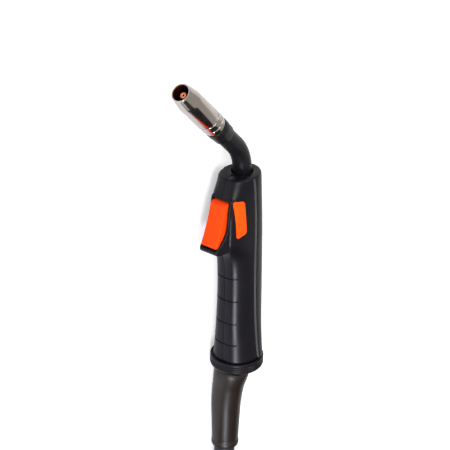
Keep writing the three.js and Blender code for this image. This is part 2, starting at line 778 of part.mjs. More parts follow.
function ballAndSleeve() {
  const bore = cableRadius + cableSlack;
  const spigot = bore + 0.9;
  const spigotReach = 5;
  const profile = [];
  const from = Math.acos(-(sleeveStart - gap) / ballRadius);
  const to = Math.acos(ballTop / ballRadius);
  const steps = 7;
  for (let i = 0; i <= steps; i++) {
    const a = from + ((to - from) * i) / steps;
    profile.push([ballRadius * Math.cos(a), ballRadius * Math.sin(a)]);
  }
  profile.push([ballTop, bore + ballTop * Math.tan(lean) + 0.4], [0, bore]);
  profile.push([-spigotReach + gap, bore], [-spigotReach + gap, spigot + gap]);
  profile.push([-sleeveStart + gap, spigot + gap]);
  const ball = named("knuckle_ball", turned(profile, 20), blackPlastic);
  ball.position.x = ballX;
  ball.rotation.y = -lean;

  const { lerp } = THREE.MathUtils;
  const radiusAt = (t) => {
    if (t < bendStart) return lerp(sleeveNeck, sleeveFlare, (t - sleeveStart) / (bendStart - sleeveStart));
    if (t < flareEnd) return sleeveFlare;
    if (t < flareEnd + flareTaper) return lerp(sleeveFlare, sleeveRadius, (t - flareEnd) / flareTaper);
    return lerp(sleeveRadius, sleeveTail, (t - flareEnd - flareTaper) / (sleeveLength - flareEnd - flareTaper));
  };
  const outside = [sleeveStart, bendStart, ...sleevePlaces(flareEnd, sleeveLength)];
  const sleeve = loft(outside.map((t) => sleeveRing(t, radiusAt(t), 18)))
    .add(sleeveTube(spigotReach, sleeveStart + 1, spigot, 18))
    .subtract(sleeveTube(spigotReach - 1, sleeveLength + 1, bore, 16));
  const lead = sleeveTube(1.5, sleeveLength - 7, cableRadius, 16);
  return [ball, named("bend_sleeve", sleeve, blackRubber), named("cable_lead", lead, blackRubber)];
}

// ---- the torch, laid on its right side ----
const torch = new THREE.Group();
torch.rotation.z = Math.PI;
torch.position.z = collarRadius;
torch.add(
  ...handleShells(),
  badgePlate(),
  ...screwPlaces.map(shellScrew),
  collarRing(),
  trigger(),
  triggerPin(),
  triggerSpring(),
  ...microswitch(),
  ...neck(),
  ...connection(),
  ...ballAndSleeve(),
);

// ---- cable, coil and plug on the bench ----
const coilCentre = new THREE.Vector3(coilX, coilY, 0);
const turnPitch = 2 * cableRadius;
const outerTurn = coilMeanRadius + turnPitch * ((coilWide - 1) / 2);
const layerRise = turnPitch * Math.sin(Math.PI / 3);
const coilTop = coilLift + turnPitch + layerRise * (coilHigh - 1);
const sleeveMouth = sleeveLine(sleeveLength).centre;
const sleeveMouthX = -sleeveMouth.x;
const sleeveMouthZ = collarRadius + sleeveMouth.z;

const tubeAlong = (points, sides = 10) => {
  const route = new THREE.CatmullRomCurve3(points.map((p) => new THREE.Vector3(...p)));
  return swept(route, () => cableRadius, Math.round(route.getLength() / 10), sides);
};

// From the sleeve's mouth along the bench to the coil's outer turn.
const leadIn = [
  [sleeveMouthX - 6.5, 0, sleeveMouthZ],
  [sleeveMouthX + 8, 0, sleeveMouthZ - 0.6],
  [sleeveMouthX + 18, 0.2, 9.8],
  [sleeveMouthX + 29.5, 1.6, 9.5],
];

// From the coil's upper layer, round a quarter turn, down to the plug's sleeve.
const leadOut = [
  [272.2, 37, 24.6],
  [290.1, 33.6, 22.4],
  [307, 26.6, 19.6],
  [321.5, 15.5, 17.8],
  [332.9, 2, 18.2],
  [339.8, -14, 20.8],
  [plugX - 0.1, plugY + 6, 23],
  [plugX, plugY - 8, plugNutRadius],
];

function cableAndCoil() {
  const side = (coilWide - 1) / 2;
  const [inner, outer] = [coilMeanRadius - turnPitch * side, coilMeanRadius + turnPitch * side];
  const upper = turnPitch / 2; // the upper layer nests between the lower turns
  const profile = [
    [inner - cableRadius, coilLift + cableRadius],
    [inner - cableRadius * 0.6, coilLift],
    [outer + cableRadius * 0.6, coilLift],
    [outer + cableRadius, coilLift + cableRadius],
    [outer + cableRadius - upper, coilTop - cableRadius],
    [outer + cableRadius * 0.6 - upper, coilTop],
    [inner - cableRadius * 0.6 + upper, coilTop],
    [inner - cableRadius + upper, coilTop - cableRadius],
  ].map(([r, z]) => new THREE.Vector2(r, z));
  profile.push(profile[0].clone());
  const ring = solid(new THREE.LatheGeometry(profile, 32).rotateX(Math.PI / 2));
  const coil = named("cable_coil", ring, blackRubber);
  coil.position.copy(coilCentre);

  // A strap round the coil's section, closed on itself.
  const wide = outer + cableRadius - (inner - cableRadius);
  const strapBox = (grow) =>
    block(-tieWidth / 2 - grow, tieWidth / 2 + grow, inner - cableRadius - 2.4 - grow * tieThickness,
      inner - cableRadius + wide + 2.4 + grow * tieThickness, coilLift - gap - grow * tieThickness,
      coilTop + gap + grow * tieThickness);
  const strap = strapBox(1)
    .intersect(block(-tieWidth / 2, tieWidth / 2, 0, 2 * outer, -big, big))
    .subtract(strapBox(0).add(strapBox(0).translate(4, 0, 0)).add(strapBox(0).translate(-4, 0, 0)));
  const tie = named("coil_tie", strap, blackRubber);
  tie.position.copy(coilCentre);
  tie.rotation.z = radians(tieTurn);
  return [
    coil,
    tie,
    named("cable", tubeAlong(leadIn), blackRubber),
    named("cable_end", tubeAlong(leadOut), blackRubber),
  ];
}

// The central plug, on its own axis: cable end at x = 0, mating end at +X.
function plug() {
  const group = new THREE.Group();
  const bore = cableRadius + cableSlack;
  const housingStart = plugSleeveLength + gap;
  const housingEnd = housingStart + plugHousingLength;
  const nutStart = housingEnd - plugNutLength * 0.45;
  const flangeStart = housingEnd - 2;
  const flangeEnd = flangeStart + plugFlangeLength;
  const tail = 9;
  const sleeve = turned(
    [
      [0, bore],
      [0, cableRadius + 2],
      [plugSleeveLength - 8, cableRadius + 3.6],
      [plugSleeveLength, cableRadius + 3.6],
      [plugSleeveLength + tail, cableRadius + 3.6],
      [plugSleeveLength + tail, bore],
    ],
    20,
  );
  const groove = (x, radius) => pipe(x, x + 2.6, plugHousingRadius + 4, radius, 24);
  const housing = turned(
    [
      [housingStart, 0],
      [housingStart, cableRadius + 8],
      [housingStart + 6, plugHousingRadius],
      [housingEnd, plugHousingRadius],
      [housingEnd, 0],
    ],
    24,
  )
    .subtract(rod(housingStart + plugHousingWall + tail, housingEnd + 1, plugHousingRadius - plugHousingWall, 24))
    .subtract(rod(housingStart - 1, housingEnd, cableRadius + 3.6 + gap, 20))
    .subtract(groove(housingStart + 12, plugHousingRadius - 0.8))
    .subtract(groove(housingStart + 18, plugHousingRadius - 0.8));
  const screwX = [housingStart + 8.4, nutStart - 4.4];
  const screwY = cableRadius + 3.6 + gap + 2.2;
  let bossed = housing;
  for (const x of screwX.slice(1)) {
    for (const y of [screwY, -screwY]) {
      bossed = bossed.add(crossRod(x, y, -12, 12, 2.6, 12).intersect(rod(housingStart, housingEnd, plugHousingRadius)));
      bossed = bossed
        .subtract(crossRod(x, y, -8, 7, screwRadius - 0.3 + gap, 10))
        .subtract(crossRod(x, y, 5.6, big, 2.2 + gap, 12));
    }
  }
  const upper = bossed.intersect(block(0, 200, -big, big, seam / 2, big));
  const lower = bossed.intersect(block(0, 200, -big, big, -big, -seam / 2));
  const screws = [screwY, -screwY].map((y, i) =>
    named(
      `plug_screw_${i + 1}`,
      crossRod(screwX[1], y, -7.4, 5.6, screwRadius - 0.3, 10).add(crossRod(screwX[1], y, 5.7, 7.6, 2.2, 12))
        .add(crossRod(screwX[1], y, 5, 6, screwRadius - 0.3, 10)),
      steel,
    ),
  );

  const innerRadius = plugHousingRadius + running;
  let nut = turned(
    [
      [0, innerRadius],
      [0, plugNutRadius - 2.4],
      [2, plugNutRadius],
      [plugNutLength - 1.5, plugNutRadius],
      [plugNutLength, plugNutRadius - 1.5],
      [plugNutLength, innerRadius + 1.6],
      [plugNutLength * 0.5, innerRadius + 1.6],
      [plugNutLength * 0.45 + 3, innerRadius],
    ],
    plugNutFlutes * 2,
  );
  for (let i = 0; i < plugNutFlutes; i++) {
    const a = (2 * Math.PI * i) / plugNutFlutes;
    const flute = rod(4, plugNutLength + 1, 1.6, 6).translate(0, (plugNutRadius + 0.8) * Math.cos(a),
      (plugNutRadius + 0.8) * Math.sin(a));
    nut = nut.subtract(flute);
  }
  const nutMesh = named("plug_nut", nut, blackPlastic);
  nutMesh.position.x = nutStart;

  const pinPlaces = [pinOffset, -pinOffset];
  let flange = rod(flangeStart, flangeEnd, plugFlangeRadius - plugHousingWall - gap, 28)
    .add(rod(flangeStart + 2 + gap, flangeEnd, plugFlangeRadius, 28))
    .subtract(rod(flangeStart - 1, flangeEnd + 1, plugSpigotRadius + gap, 20));
  for (const y of pinPlaces) {
    flange = flange.subtract(rod(flangeStart - 1, flangeEnd + 1, pinRadius + running, 12).translate(0, y, 0));
  }
  const stem = housingEnd - 20;
  const spigotEnd = flangeEnd + plugSpigotLength;
  const spigot = turned(
    [
      [stem, spigotBore],
      [stem, plugSpigotRadius + 2],
      [flangeStart - gap, plugSpigotRadius + 2],
      [flangeStart - gap, plugSpigotRadius],
      [spigotEnd - 7, plugSpigotRadius],
      [spigotEnd - 7, plugSpigotRadius - 1.2],
      [spigotEnd - 4.4, plugSpigotRadius - 1.2],
      [spigotEnd - 4.4, plugSpigotRadius],
      [spigotEnd, plugSpigotRadius - 0.8],
      [spigotEnd, spigotBore],
    ],
    24,
  );
  const ring = solid(
    new THREE.TorusGeometry(plugSpigotRadius - 0.05, 0.8, 5, 16).rotateY(Math.PI / 2).translate(spigotEnd - 5.7, 0, 0),
  );
  const linerNut = solid(
    new THREE.CylinderGeometry(plugSpigotRadius - 1, plugSpigotRadius - 1, 6, 6)
      .rotateZ(-Math.PI / 2)
      .translate(spigotEnd + gap + 3, 0, 0),
  ).subtract(rod(spigotEnd - 1, spigotEnd + 8, spigotBore, 12));
  const innerCable = rod(tail + gap, stem - gap, cableRadius, 16);
  group.add(
    named("plug_sleeve", sleeve, blackRubber),
    named("plug_housing_upper", upper, blackPlastic),
    named("plug_housing_lower", lower, blackPlastic),
    ...screws,
    nutMesh,
    named("plug_flange", flange, blackPlastic),
    named("plug_spigot", spigot, brass),
    named("spigot_o_ring", ring, blackRubber),
    named("liner_nut", linerNut, brass),
    named("plug_lead", innerCable, blackRubber),
    ...pinPlaces.map((y, i) => {
      const pin = rod(flangeEnd - pinLength / 2, flangeEnd + pinLength / 2, pinRadius, 12);
      return named(`contact_pin_${i + 1}`, pin.translate(0, y, 0), brass);
    }),
  );
  group.position.set(plugX, plugY, plugNutRadius);
  group.rotation.z = radians(plugTurn);
  return group;
}

// The origin is on the bench, under the middle of the torch without its cable.
const middle = new THREE.Box3().setFromObject(torch, true).getCenter(new THREE.Vector3());

const part = new THREE.Group();
part.position.set(-middle.x, -middle.y, 0);
part.add(torch, ...cableAndCoil(), plug());

export default part;
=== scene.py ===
"""A gooseneck MIG welding torch on a pale bench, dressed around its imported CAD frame.

The torch lies on its right shell with its neck towards -X and its cable running to +X, where the
unseen length is tied in a flat coil that ends in the central plug.
"""

import logging
import math
from dataclasses import dataclass, field
from enum import Enum
from typing import Callable, Iterable, Sequence

import bpy
import numpy as np
from mathutils import Matrix, Vector

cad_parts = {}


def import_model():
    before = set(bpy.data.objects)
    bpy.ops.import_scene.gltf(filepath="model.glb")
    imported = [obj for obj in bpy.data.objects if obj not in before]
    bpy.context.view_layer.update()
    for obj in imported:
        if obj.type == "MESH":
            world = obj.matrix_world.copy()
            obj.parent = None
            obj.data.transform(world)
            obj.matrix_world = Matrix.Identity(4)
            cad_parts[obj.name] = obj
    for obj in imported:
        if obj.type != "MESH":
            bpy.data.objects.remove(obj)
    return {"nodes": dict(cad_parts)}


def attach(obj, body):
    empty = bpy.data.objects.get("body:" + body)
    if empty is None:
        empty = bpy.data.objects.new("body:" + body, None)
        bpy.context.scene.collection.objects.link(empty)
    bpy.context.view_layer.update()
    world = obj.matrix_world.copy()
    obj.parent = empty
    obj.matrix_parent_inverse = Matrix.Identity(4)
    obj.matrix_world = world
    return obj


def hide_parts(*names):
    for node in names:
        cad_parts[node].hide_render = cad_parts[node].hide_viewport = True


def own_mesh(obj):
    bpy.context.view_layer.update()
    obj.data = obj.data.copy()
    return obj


log = logging.getLogger("torch")

MM = 0.001
# Where the handle's lower end lies on the bench, and how high its axis is over it, in mm.
ORIGIN_X = 77.9377
ORIGIN_Y = 28.2889
BENCH_LIFT = 20.2

# The torch's own frame, along +X from ball joint to neck and +Y to the trigger, set in the part's frame.
TORCH = Matrix.Translation((ORIGIN_X * MM, ORIGIN_Y * MM, BENCH_LIFT * MM)) @ Matrix.Rotation(math.pi, 4, "Z")
# The bench frame, in which the cable's route is given.
BENCH = Matrix.Translation((ORIGIN_X * MM, ORIGIN_Y * MM, 0))

Pair = tuple[float, float]
Triple = tuple[float, float, float]


class Body(str, Enum):
    """The rigid bodies of the torch."""

    CABLE_SIDE = "cable_side"
    KNUCKLE = "knuckle"
    HANDLE = "handle"
    TRIGGER = "trigger"
    BUTTON = "button"
    NOZZLE = "nozzle"
    NUT = "nut"
    PIN_1 = "pin_1"
    PIN_2 = "pin_2"


class Slot(str, Enum):
    """The record's material slots."""

    BLACK = "black_plastic"
    ORANGE = "orange_plastic"
    RED = "red_plastic"
    RUBBER = "black_rubber"
    NICKEL = "nickel"
    COPPER = "copper"
    BRASS = "brass"
    STEEL = "steel"


# ---- mesh tools ----
def select_only(obj: bpy.types.Object) -> None:
    """Makes obj the only selected and the active object.

    Args:
        obj: the object to select.
    """
    for other in bpy.context.selected_objects:
        other.select_set(False)
    obj.select_set(True)
    bpy.context.view_layer.objects.active = obj


def clear_selection() -> None:
    """Deselects every object."""
    for other in list(bpy.context.selected_objects):
        other.select_set(False)


def edit(obj: bpy.types.Object, work: Callable[[], None]) -> None:
    """Runs edit-mode operators on a whole mesh.

    Args:
        obj: the mesh object.
        work: the operators, called with everything selected.
    """
    select_only(obj)
    bpy.ops.object.mode_set(mode="EDIT")
    bpy.ops.mesh.select_all(action="SELECT")
    work()
    bpy.ops.object.mode_set(mode="OBJECT")


def made(name: str) -> bpy.types.Object:
    """The active object, renamed.

    Args:
        name: its new name, which its mesh gets too.

    Returns:
        The object.
    """
    obj = bpy.context.active_object
    obj.name = name
    obj.data.name = name
    return obj


def place(obj: bpy.types.Object, matrix: Matrix) -> bpy.types.Object:
    """Moves a mesh's points, and leaves its object at the origin.

    Args:
        obj: the mesh object.
        matrix: where the mesh goes.

    Returns:
        The same object.
    """
    obj.data.transform(matrix)
    obj.data.update()
    return obj


def apply_modifier(obj: bpy.types.Object, kind: str, **settings: object) -> None:
    """Adds one modifier with its settings and applies it.

    Args:
        obj: the mesh object.
        kind: Blender's name of the modifier's type.
        **settings: the modifier's settings.
    """
    select_only(obj)
    modifier = obj.modifiers.new(kind.title(), kind)
    for key, value in settings.items():
        setattr(modifier, key, value)
    bpy.ops.object.modifier_apply(modifier=modifier.name)


def cut(obj: bpy.types.Object, tool: bpy.types.Object, operation: str = "DIFFERENCE") -> None:
    """Cuts obj with tool, or joins it, and removes the tool.

    Args:
        obj: the mesh that stays.
        tool: the closed mesh that cuts.
        operation: DIFFERENCE, UNION or INTERSECT.
    """
    apply_modifier(obj, "BOOLEAN", operation=operation, object=tool, solver="EXACT")
    bpy.data.objects.remove(tool)


def copy_of(obj: bpy.types.Object, name: str, matrix: Matrix | None = None) -> bpy.types.Object:
    """A copy of obj with a mesh of its own.

    Args:
        obj: the object to copy.
        name: the copy's name.
        matrix: where its mesh goes, if it moves.

    Returns:
        The copy.
    """
    other = obj.copy()
    other.data = obj.data.copy()
    other.name = other.data.name = name
    bpy.context.scene.collection.objects.link(other)
    if matrix is not None:
        place(other, matrix)
    return other


def smooth(obj: bpy.types.Object, degrees: float = 35) -> None:
    """Shades a mesh smooth, but sharp at edges over an angle.

    Args:
        obj: the mesh object.
        degrees: the angle over which an edge stays sharp.
    """
    select_only(obj)
    bpy.ops.object.shade_smooth_by_angle(angle=math.radians(degrees))


def soften(obj: bpy.types.Object, width: float, segments: int = 2, degrees: float = 32) -> None:
    """Rounds a mesh's edges.

    Args:
        obj: the mesh object.
        width: the bevel's width in mm.
        segments: its segments.
        degrees: the angle over which an edge is rounded.
    """
    apply_modifier(
        obj, "BEVEL", width=width * MM, segments=segments, limit_method="ANGLE",
        angle_limit=math.radians(degrees), harden_normals=False, use_clamp_overlap=True,
    )


def turned(name: str, profile: Sequence[Pair], segments: int = 64, angle: float = 360) -> bpy.types.Object:
    """A piece turned about the X axis, in mm.

    Args:
        name: its name.
        profile: the (x, radius) pairs of its closed outline.
        segments: faces round the axis.
        angle: degrees that the outline is spun through.

    Returns:
        The turned object.
    """
    bpy.ops.mesh.primitive_circle_add(vertices=len(profile), radius=1, fill_type="NOTHING")
    obj = made(name)
    for vertex, (x, radius) in zip(obj.data.vertices, profile):
        vertex.co = (x * MM, radius * MM, 0)

    def spin() -> None:
        """Spins the outline and joins what meets."""
        bpy.ops.mesh.spin(steps=segments, angle=math.radians(angle), center=(0, 0, 0), axis=(1, 0, 0))
        bpy.ops.mesh.select_all(action="SELECT")
        bpy.ops.mesh.remove_doubles(threshold=1e-7)
        bpy.ops.mesh.dissolve_degenerate(threshold=1e-7)
        bpy.ops.mesh.select_all(action="SELECT")
        bpy.ops.mesh.delete_loose()
        bpy.ops.mesh.select_all(action="SELECT")
        bpy.ops.mesh.normals_make_consistent(inside=False)

    edit(obj, spin)
    return obj


def skin(name: str, rings: Sequence[Sequence[Vector]], closed_ends: bool = True) -> bpy.types.Object:
    """A grid wrapped into a tube through rings of points, in mm.

    Args:
        name: its name.
        rings: rings with an equal count of points.
        closed_ends: whether a face closes each end.

    Returns:
        The object.
    """
    count = len(rings[0])
    bpy.ops.mesh.primitive_grid_add(x_subdivisions=count, y_subdivisions=len(rings) - 1, size=1)
    obj = made(name)
    points = [point * MM for ring in rings for point in [*ring, ring[0]]]
    obj.data.vertices.foreach_set("co", np.array(points, np.float32).ravel())

    def close() -> None:
        """Joins the seam, fills the ends and turns the faces out."""
        bpy.ops.mesh.remove_doubles(threshold=1e-7)
        if closed_ends:
            bpy.ops.mesh.select_all(action="SELECT")
            bpy.ops.mesh.fill_holes(sides=0)
        bpy.ops.mesh.select_all(action="SELECT")
        bpy.ops.mesh.normals_make_consistent(inside=False)

    edit(obj, close)
    return obj


def slab(name: str, corners: Sequence[Pair], low: float, high: float) -> bpy.types.Object:
    """An outline in X and Y given a thickness in Z, in mm.

    Args:
        name: its name.
        corners: the outline's corners.
        low: the lower face's height.
        high: the upper face's height.

    Returns:
        The object.
    """
    bpy.ops.mesh.primitive_circle_add(vertices=len(corners), radius=1, fill_type="NGON")
    obj = made(name)
    for vertex, (x, y) in zip(obj.data.vertices, corners):
        vertex.co = (x * MM, y * MM, low * MM)

    def raise_it() -> None:
        """Extrudes the outline to its height."""
        bpy.ops.mesh.extrude_region_move(TRANSFORM_OT_translate={"value": (0, 0, (high - low) * MM)})
        bpy.ops.mesh.select_all(action="SELECT")
        bpy.ops.mesh.normals_make_consistent(inside=False)

    edit(obj, raise_it)
    return obj


def rounded(corners: Sequence[Pair], radius: float, steps: int = 6) -> list[Pair]:
    """An outline with its corners rounded.

    Args:
        corners: the sharp corners in order.
        radius: how far from a corner its curve starts.
        steps: points on each curve.

    Returns:
        The outline's points.
    """
    points: list[Pair] = []
    for i, corner in enumerate(corners):
        here = Vector(corner)
        before, after = Vector(corners[i - 1]), Vector(corners[(i + 1) % len(corners)])
        start = here + (before - here).normalized() * radius
        end = here + (after - here).normalized() * radius
        for k in range(steps + 1):
            t = k / steps
            point = start * (1 - t) ** 2 + here * (2 * t * (1 - t)) + end * t**2
            points.append((point.x, point.y))
    return points


def box_tool(x0: float, x1: float, y0: float, y1: float, z0: float, z1: float) -> bpy.types.Object:
    """A block used to cut with, in mm.

    Args:
        x0, x1: its span along X.
        y0, y1: its span along Y.
        z0, z1: its span along Z.

    Returns:
        The block.
    """
    return slab("tool", [(x0, y0), (x1, y0), (x1, y1), (x0, y1)], z0, z1)


def rod(name: str, x0: float, x1: float, radius: float, segments: int = 48) -> bpy.types.Object:
    """A rod along X, in mm.

    Args:
        name: its name.
        x0, x1: its span along X.
        radius: its radius.
        segments: its sides.

    Returns:
        The rod.
    """
    return turned(name, [(x0, 0), (x0, radius), (x1, radius), (x1, 0)], segments)


def cross_rod(
    name: str, x: float, y: float, z0: float, z1: float, radius: float, segments: int = 40
) -> bpy.types.Object:
    """A rod along Z through (x, y), in mm.

    Args:
        name: its name.
        x, y: its axis.
        z0, z1: its span along Z.
        radius: its radius.
        segments: its sides.

    Returns:
        The rod.
    """
    obj = rod(name, z0, z1, radius, segments)
    turn = Matrix.Translation((x * MM, y * MM, 0)) @ Matrix.Rotation(-math.pi / 2, 4, "Y")
    return place(obj, turn)


def ball_tool(x: float, radius: float) -> bpy.types.Object:
    """A ball on the X axis used to cut with, in mm.

    Args:
        x: its centre.
        radius: its radius.

    Returns:
        The ball.
    """
    clear_selection()
    bpy.ops.mesh.primitive_uv_sphere_add(segments=64, ring_count=40, radius=radius * MM)
    return place(made("tool"), Matrix.Translation((x * MM, 0, 0)))


# ---- finishes ----
def linear(code: str) -> tuple[float, float, float, float]:
    """An sRGB hex colour as linear values.

    Args:
        code: the colour, such as #FF4A00.

    Returns:
        Red, green, blue and alpha for a shader socket.
    """
    values = [int(code[i : i + 2], 16) / 255 for i in (1, 3, 5)]
    low = [v / 12.92 if v <= 0.04045 else ((v + 0.055) / 1.055) ** 2.4 for v in values]
    return (low[0], low[1], low[2], 1.0)


def add_node(
    tree: bpy.types.NodeTree, kind: str, links: dict[str, object] | None = None, **settings: object
) -> bpy.types.Node:
    """Adds a node to a tree.

    Args:
        tree: the node tree.
        kind: the node's type.
        links: input names or places, each with the socket or the value that feeds it.
        **settings: the node's own settings.

    Returns:
        The node.
    """
    node = tree.nodes.new(kind)
    for key, value in settings.items():
        setattr(node, key, value)
    for key, value in (links or {}).items():
        socket = node.inputs[int(key)] if key.isdigit() else node.inputs[key]
        if isinstance(value, bpy.types.NodeSocket):
            tree.links.new(value, socket)
        else:
            socket.default_value = value
    return node


class Tree:
    """A material's node tree, with its shader and its object coordinates."""

    def __init__(self, name: str) -> None:
        """Starts a material.

        Args:
            name: the material's name.
        """
        self.material = bpy.data.materials.new(name)
        self.material.use_nodes = True
        self.shader = self.material.node_tree.nodes["Principled BSDF"]
        self.place = self.add("ShaderNodeTexCoord").outputs["Object"]

    def add(self, kind: str, links: dict[str, object] | None = None, **settings: object) -> bpy.types.Node:
        """Adds a node to this material, as add_node does.

        Args:
            kind: the node's type.
            links: input names or places, each with the socket or the value that feeds it.
            **settings: the node's own settings.

        Returns:
            The node.
        """
        return add_node(self.material.node_tree, kind, links, **settings)

    def feed(self, name: str, source: bpy.types.NodeSocket) -> None:
        """Links a socket to the shader.

        Args:
            name: the shader's input.
            source: the socket that feeds it.
        """
        self.material.node_tree.links.new(source, self.shader.inputs[name])

    def set(self, **values: object) -> None:
        """Sets constant shader inputs.

        Args:
            **values: input names with _ for a space, and their values.
        """
        for key, value in values.items():
            self.shader.inputs[key.replace("_", " ")].default_value = value

    def cloud(self, size_mm: float, tints: tuple[str, str], used: Pair, rough: Pair, **inputs: float) -> None:
        """Lets colour and roughness drift together over the surface.

        Args:
            size_mm: the size of the drift's clouds.
            tints: the two colours that it drifts between.
            used: the stretch of the cloud that changes the roughness.
            rough: the roughness at the ends of that stretch.
            **inputs: the cloud's own inputs, such as Detail.
        """
        noise = self.add("ShaderNodeTexNoise", {"Vector": self.place, "Scale": 1 / (size_mm * MM), **inputs})
        shade = self.add("ShaderNodeMix", {"Factor": noise.outputs["Fac"]}, data_type="RGBA")
        # Mix has sockets of each kind under one name, so the colours are set by their places.
        shade.inputs[6].default_value = linear(tints[0])
        shade.inputs[7].default_value = linear(tints[1])
        self.feed("Base Color", shade.outputs[2])
        spread = self.add(
            "ShaderNodeMapRange",
            {"Value": noise.outputs["Fac"], "From Min": used[0], "From Max": used[1],
             "To Min": rough[0], "To Max": rough[1]},
        )
        self.feed("Roughness", spread.outputs["Result"])

    def relief(self, size_mm: float, detail: float, depth: float, height_mm: float) -> None:
        """Gives the surface a fine relief.

        Args:
            size_mm: the size of its bumps.
            detail: its layers of finer bumps.
            depth: how strong it is.
            height_mm: how high a bump is at full strength.
        """
        noise = self.add(
            "ShaderNodeTexNoise", {"Vector": self.place, "Scale": 1 / (size_mm * MM), "Detail": detail}
        )
        bump = self.add(
            "ShaderNodeBump", {"Height": noise.outputs["Fac"], "Strength": depth, "Distance": height_mm * MM}
        )
        self.feed("Normal", bump.outputs["Normal"])


@dataclass(frozen=True)
class MouldedPlastic:
    """Injection-moulded nylon: one body colour, a fine spark-eroded grain that spreads the highlights a
    little, and a faint unevenness of gloss where the mould has polished or hands have rubbed."""

    name: str
    colour: str
    worn: str
    roughness: float
    gloss: float = 0.35
    grain_mm: float = 0.9
    grain_depth: float = 0.05
    mottle_mm: float = 18.0

    def make(self) -> bpy.types.Material:
        """Builds the material.

        Returns:
            The material.
        """
        tree = Tree(self.name)
        tree.cloud(
            self.mottle_mm, (self.colour, self.worn), (0.3, 0.7),
            (self.roughness - 0.04, self.roughness + 0.05), Detail=3.0,
        )
        # Real spark grain is about 0.1 mm, too fine to show, so it is drawn coarser and shallow.
        tree.relief(self.grain_mm, 2.0, self.grain_depth, 0.2)
        tree.set(IOR=1.52, Specular_IOR_Level=self.gloss)
        return tree.material


@dataclass(frozen=True)
class DrawnMetal:
    """Turned or plated metal: a polished or finely turned face whose rings round the axis show only as
    a slight stretch of the highlights, with faint handling haze."""

    name: str
    colour: str
    haze: str
    roughness: float
    ring_mm: float = 0.5
    ring_depth: float = 0.02
    haze_mm: float = 9.0

    def make(self) -> bpy.types.Material:
        """Builds the material.

        Returns:
            The material.
        """
        tree = Tree(self.name)
        tree.cloud(
            self.haze_mm, (self.colour, self.haze), (0.35, 0.75),
            (self.roughness * 0.8, self.roughness * 1.3), Detail=4.0,
        )
        # Tool marks are some 0.1 mm apart, drawn wider here so that they show at all.
        tree.relief(self.ring_mm, 1.0, self.ring_depth, 0.1)
        tree.set(Metallic=1.0)
        return tree.material


@dataclass(frozen=True)
class Rubber:
    """Extruded or moulded rubber: dark and nearly black, with a soft broad sheen, a low ripple left by
    the extruder or mould, and a trace of dust that lifts the colour in places."""

    name: str
    colour: str
    dust: str
    roughness: float
    gloss: float = 0.35
    ripple_mm: float = 3.0
    ripple_depth: float = 0.08
    dust_mm: float = 14.0

    def make(self) -> bpy.types.Material:
        """Builds the material.

        Returns:
            The material.
        """
        tree = Tree(self.name)
        tree.cloud(
            self.dust_mm, (self.colour, self.dust), (0.3, 0.7),
            (self.roughness - 0.05, self.roughness + 0.07), Detail=5.0, Roughness=0.6,
        )
        tree.relief(self.ripple_mm, 3.0, self.ripple_depth, 0.3)
        tree.set(IOR=1.5, Specular_IOR_Level=self.gloss)
        return tree.material


@dataclass
class Finishes:
    """Every finish on the torch, each made once."""

    shell: bpy.types.Material = field(init=False)
    deep: bpy.types.Material = field(init=False)
    orange: bpy.types.Material = field(init=False)
    badge: bpy.types.Material = field(init=False)
    red: bpy.types.Material = field(init=False)
    neck: bpy.types.Material = field(init=False)
    rubber: bpy.types.Material = field(init=False)
    cable: bpy.types.Material = field(init=False)
    strap: bpy.types.Material = field(init=False)
    nickel: bpy.types.Material = field(init=False)
    bore: bpy.types.Material = field(init=False)
    copper: bpy.types.Material = field(init=False)
    brass: bpy.types.Material = field(init=False)
    steel: bpy.types.Material = field(init=False)

    def __post_init__(self) -> None:
        """Makes the materials."""
        self.shell = MouldedPlastic("Moulded_black_nylon", "#0D0C10", "#131117", 0.34, gloss=0.165).make()
        self.deep = MouldedPlastic("Moulded_black_nylon_inside", "#121115", "#19181C", 0.5).make()
        self.orange = MouldedPlastic(
            "Moulded_orange_nylon", "#F93C00", "#FC4400", 0.38, gloss=0.12, grain_depth=0.03, mottle_mm=26
        ).make()
        self.badge = MouldedPlastic(
            "Moulded_orange_badge", "#F94B00", "#FB5303", 0.42, gloss=0.16, grain_depth=0.03, mottle_mm=12
        ).make()
        self.red = MouldedPlastic("Red_wire_insulation", "#A3211B", "#8E1B17", 0.42).make()
        self.neck = Rubber(
            "Shrunk_neck_sleeve", "#0F0E11", "#151418", 0.34, gloss=0.22, ripple_mm=6, ripple_depth=0.04
        ).make()
        self.rubber = Rubber("Moulded_black_rubber", "#19130F", "#221B18", 0.36).make()
        self.cable = Rubber("Extruded_cable_sheath", "#1D1C1E", "#2A292A", 0.48, ripple_mm=5).make()
        self.strap = Rubber(
            "Woven_black_strap", "#1B1B1D", "#262527", 0.72, ripple_mm=1.2, ripple_depth=0.5
        ).make()
        self.nickel = DrawnMetal("Bright_nickel_plate", "#C8C1BC", "#B6AFAA", 0.14).make()
        self.bore = DrawnMetal("Heat_stained_copper", "#7A3A26", "#4A2217", 0.5).make()
        self.copper = DrawnMetal("Turned_copper", "#D98A66", "#B86F50", 0.26).make()
        self.brass = DrawnMetal("Turned_brass", "#D1B06A", "#B4945A", 0.28).make()
        self.steel = DrawnMetal("Zinc_plated_steel", "#B4B6BA", "#8F9297", 0.32).make()


def dress(
    obj: bpy.types.Object, material: bpy.types.Material, body: Body,
    stands_for: Iterable[str] = (),
) -> bpy.types.Object:
    """Gives a finished piece its material and its body, and hides the CAD nodes that it stands for.

    Args:
        obj: the finished piece.
        material: its finish.
        body: the rigid body that it rides on.
        stands_for: the CAD nodes that it replaces.

    Returns:
        The piece.
    """
    obj.data.materials.clear()
    obj.data.materials.append(material)
    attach(obj, body.value)
    nodes = list(stands_for)
    if nodes:
        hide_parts(*nodes)
    log.info("%s rides on %s", obj.name, body.value)
    return obj


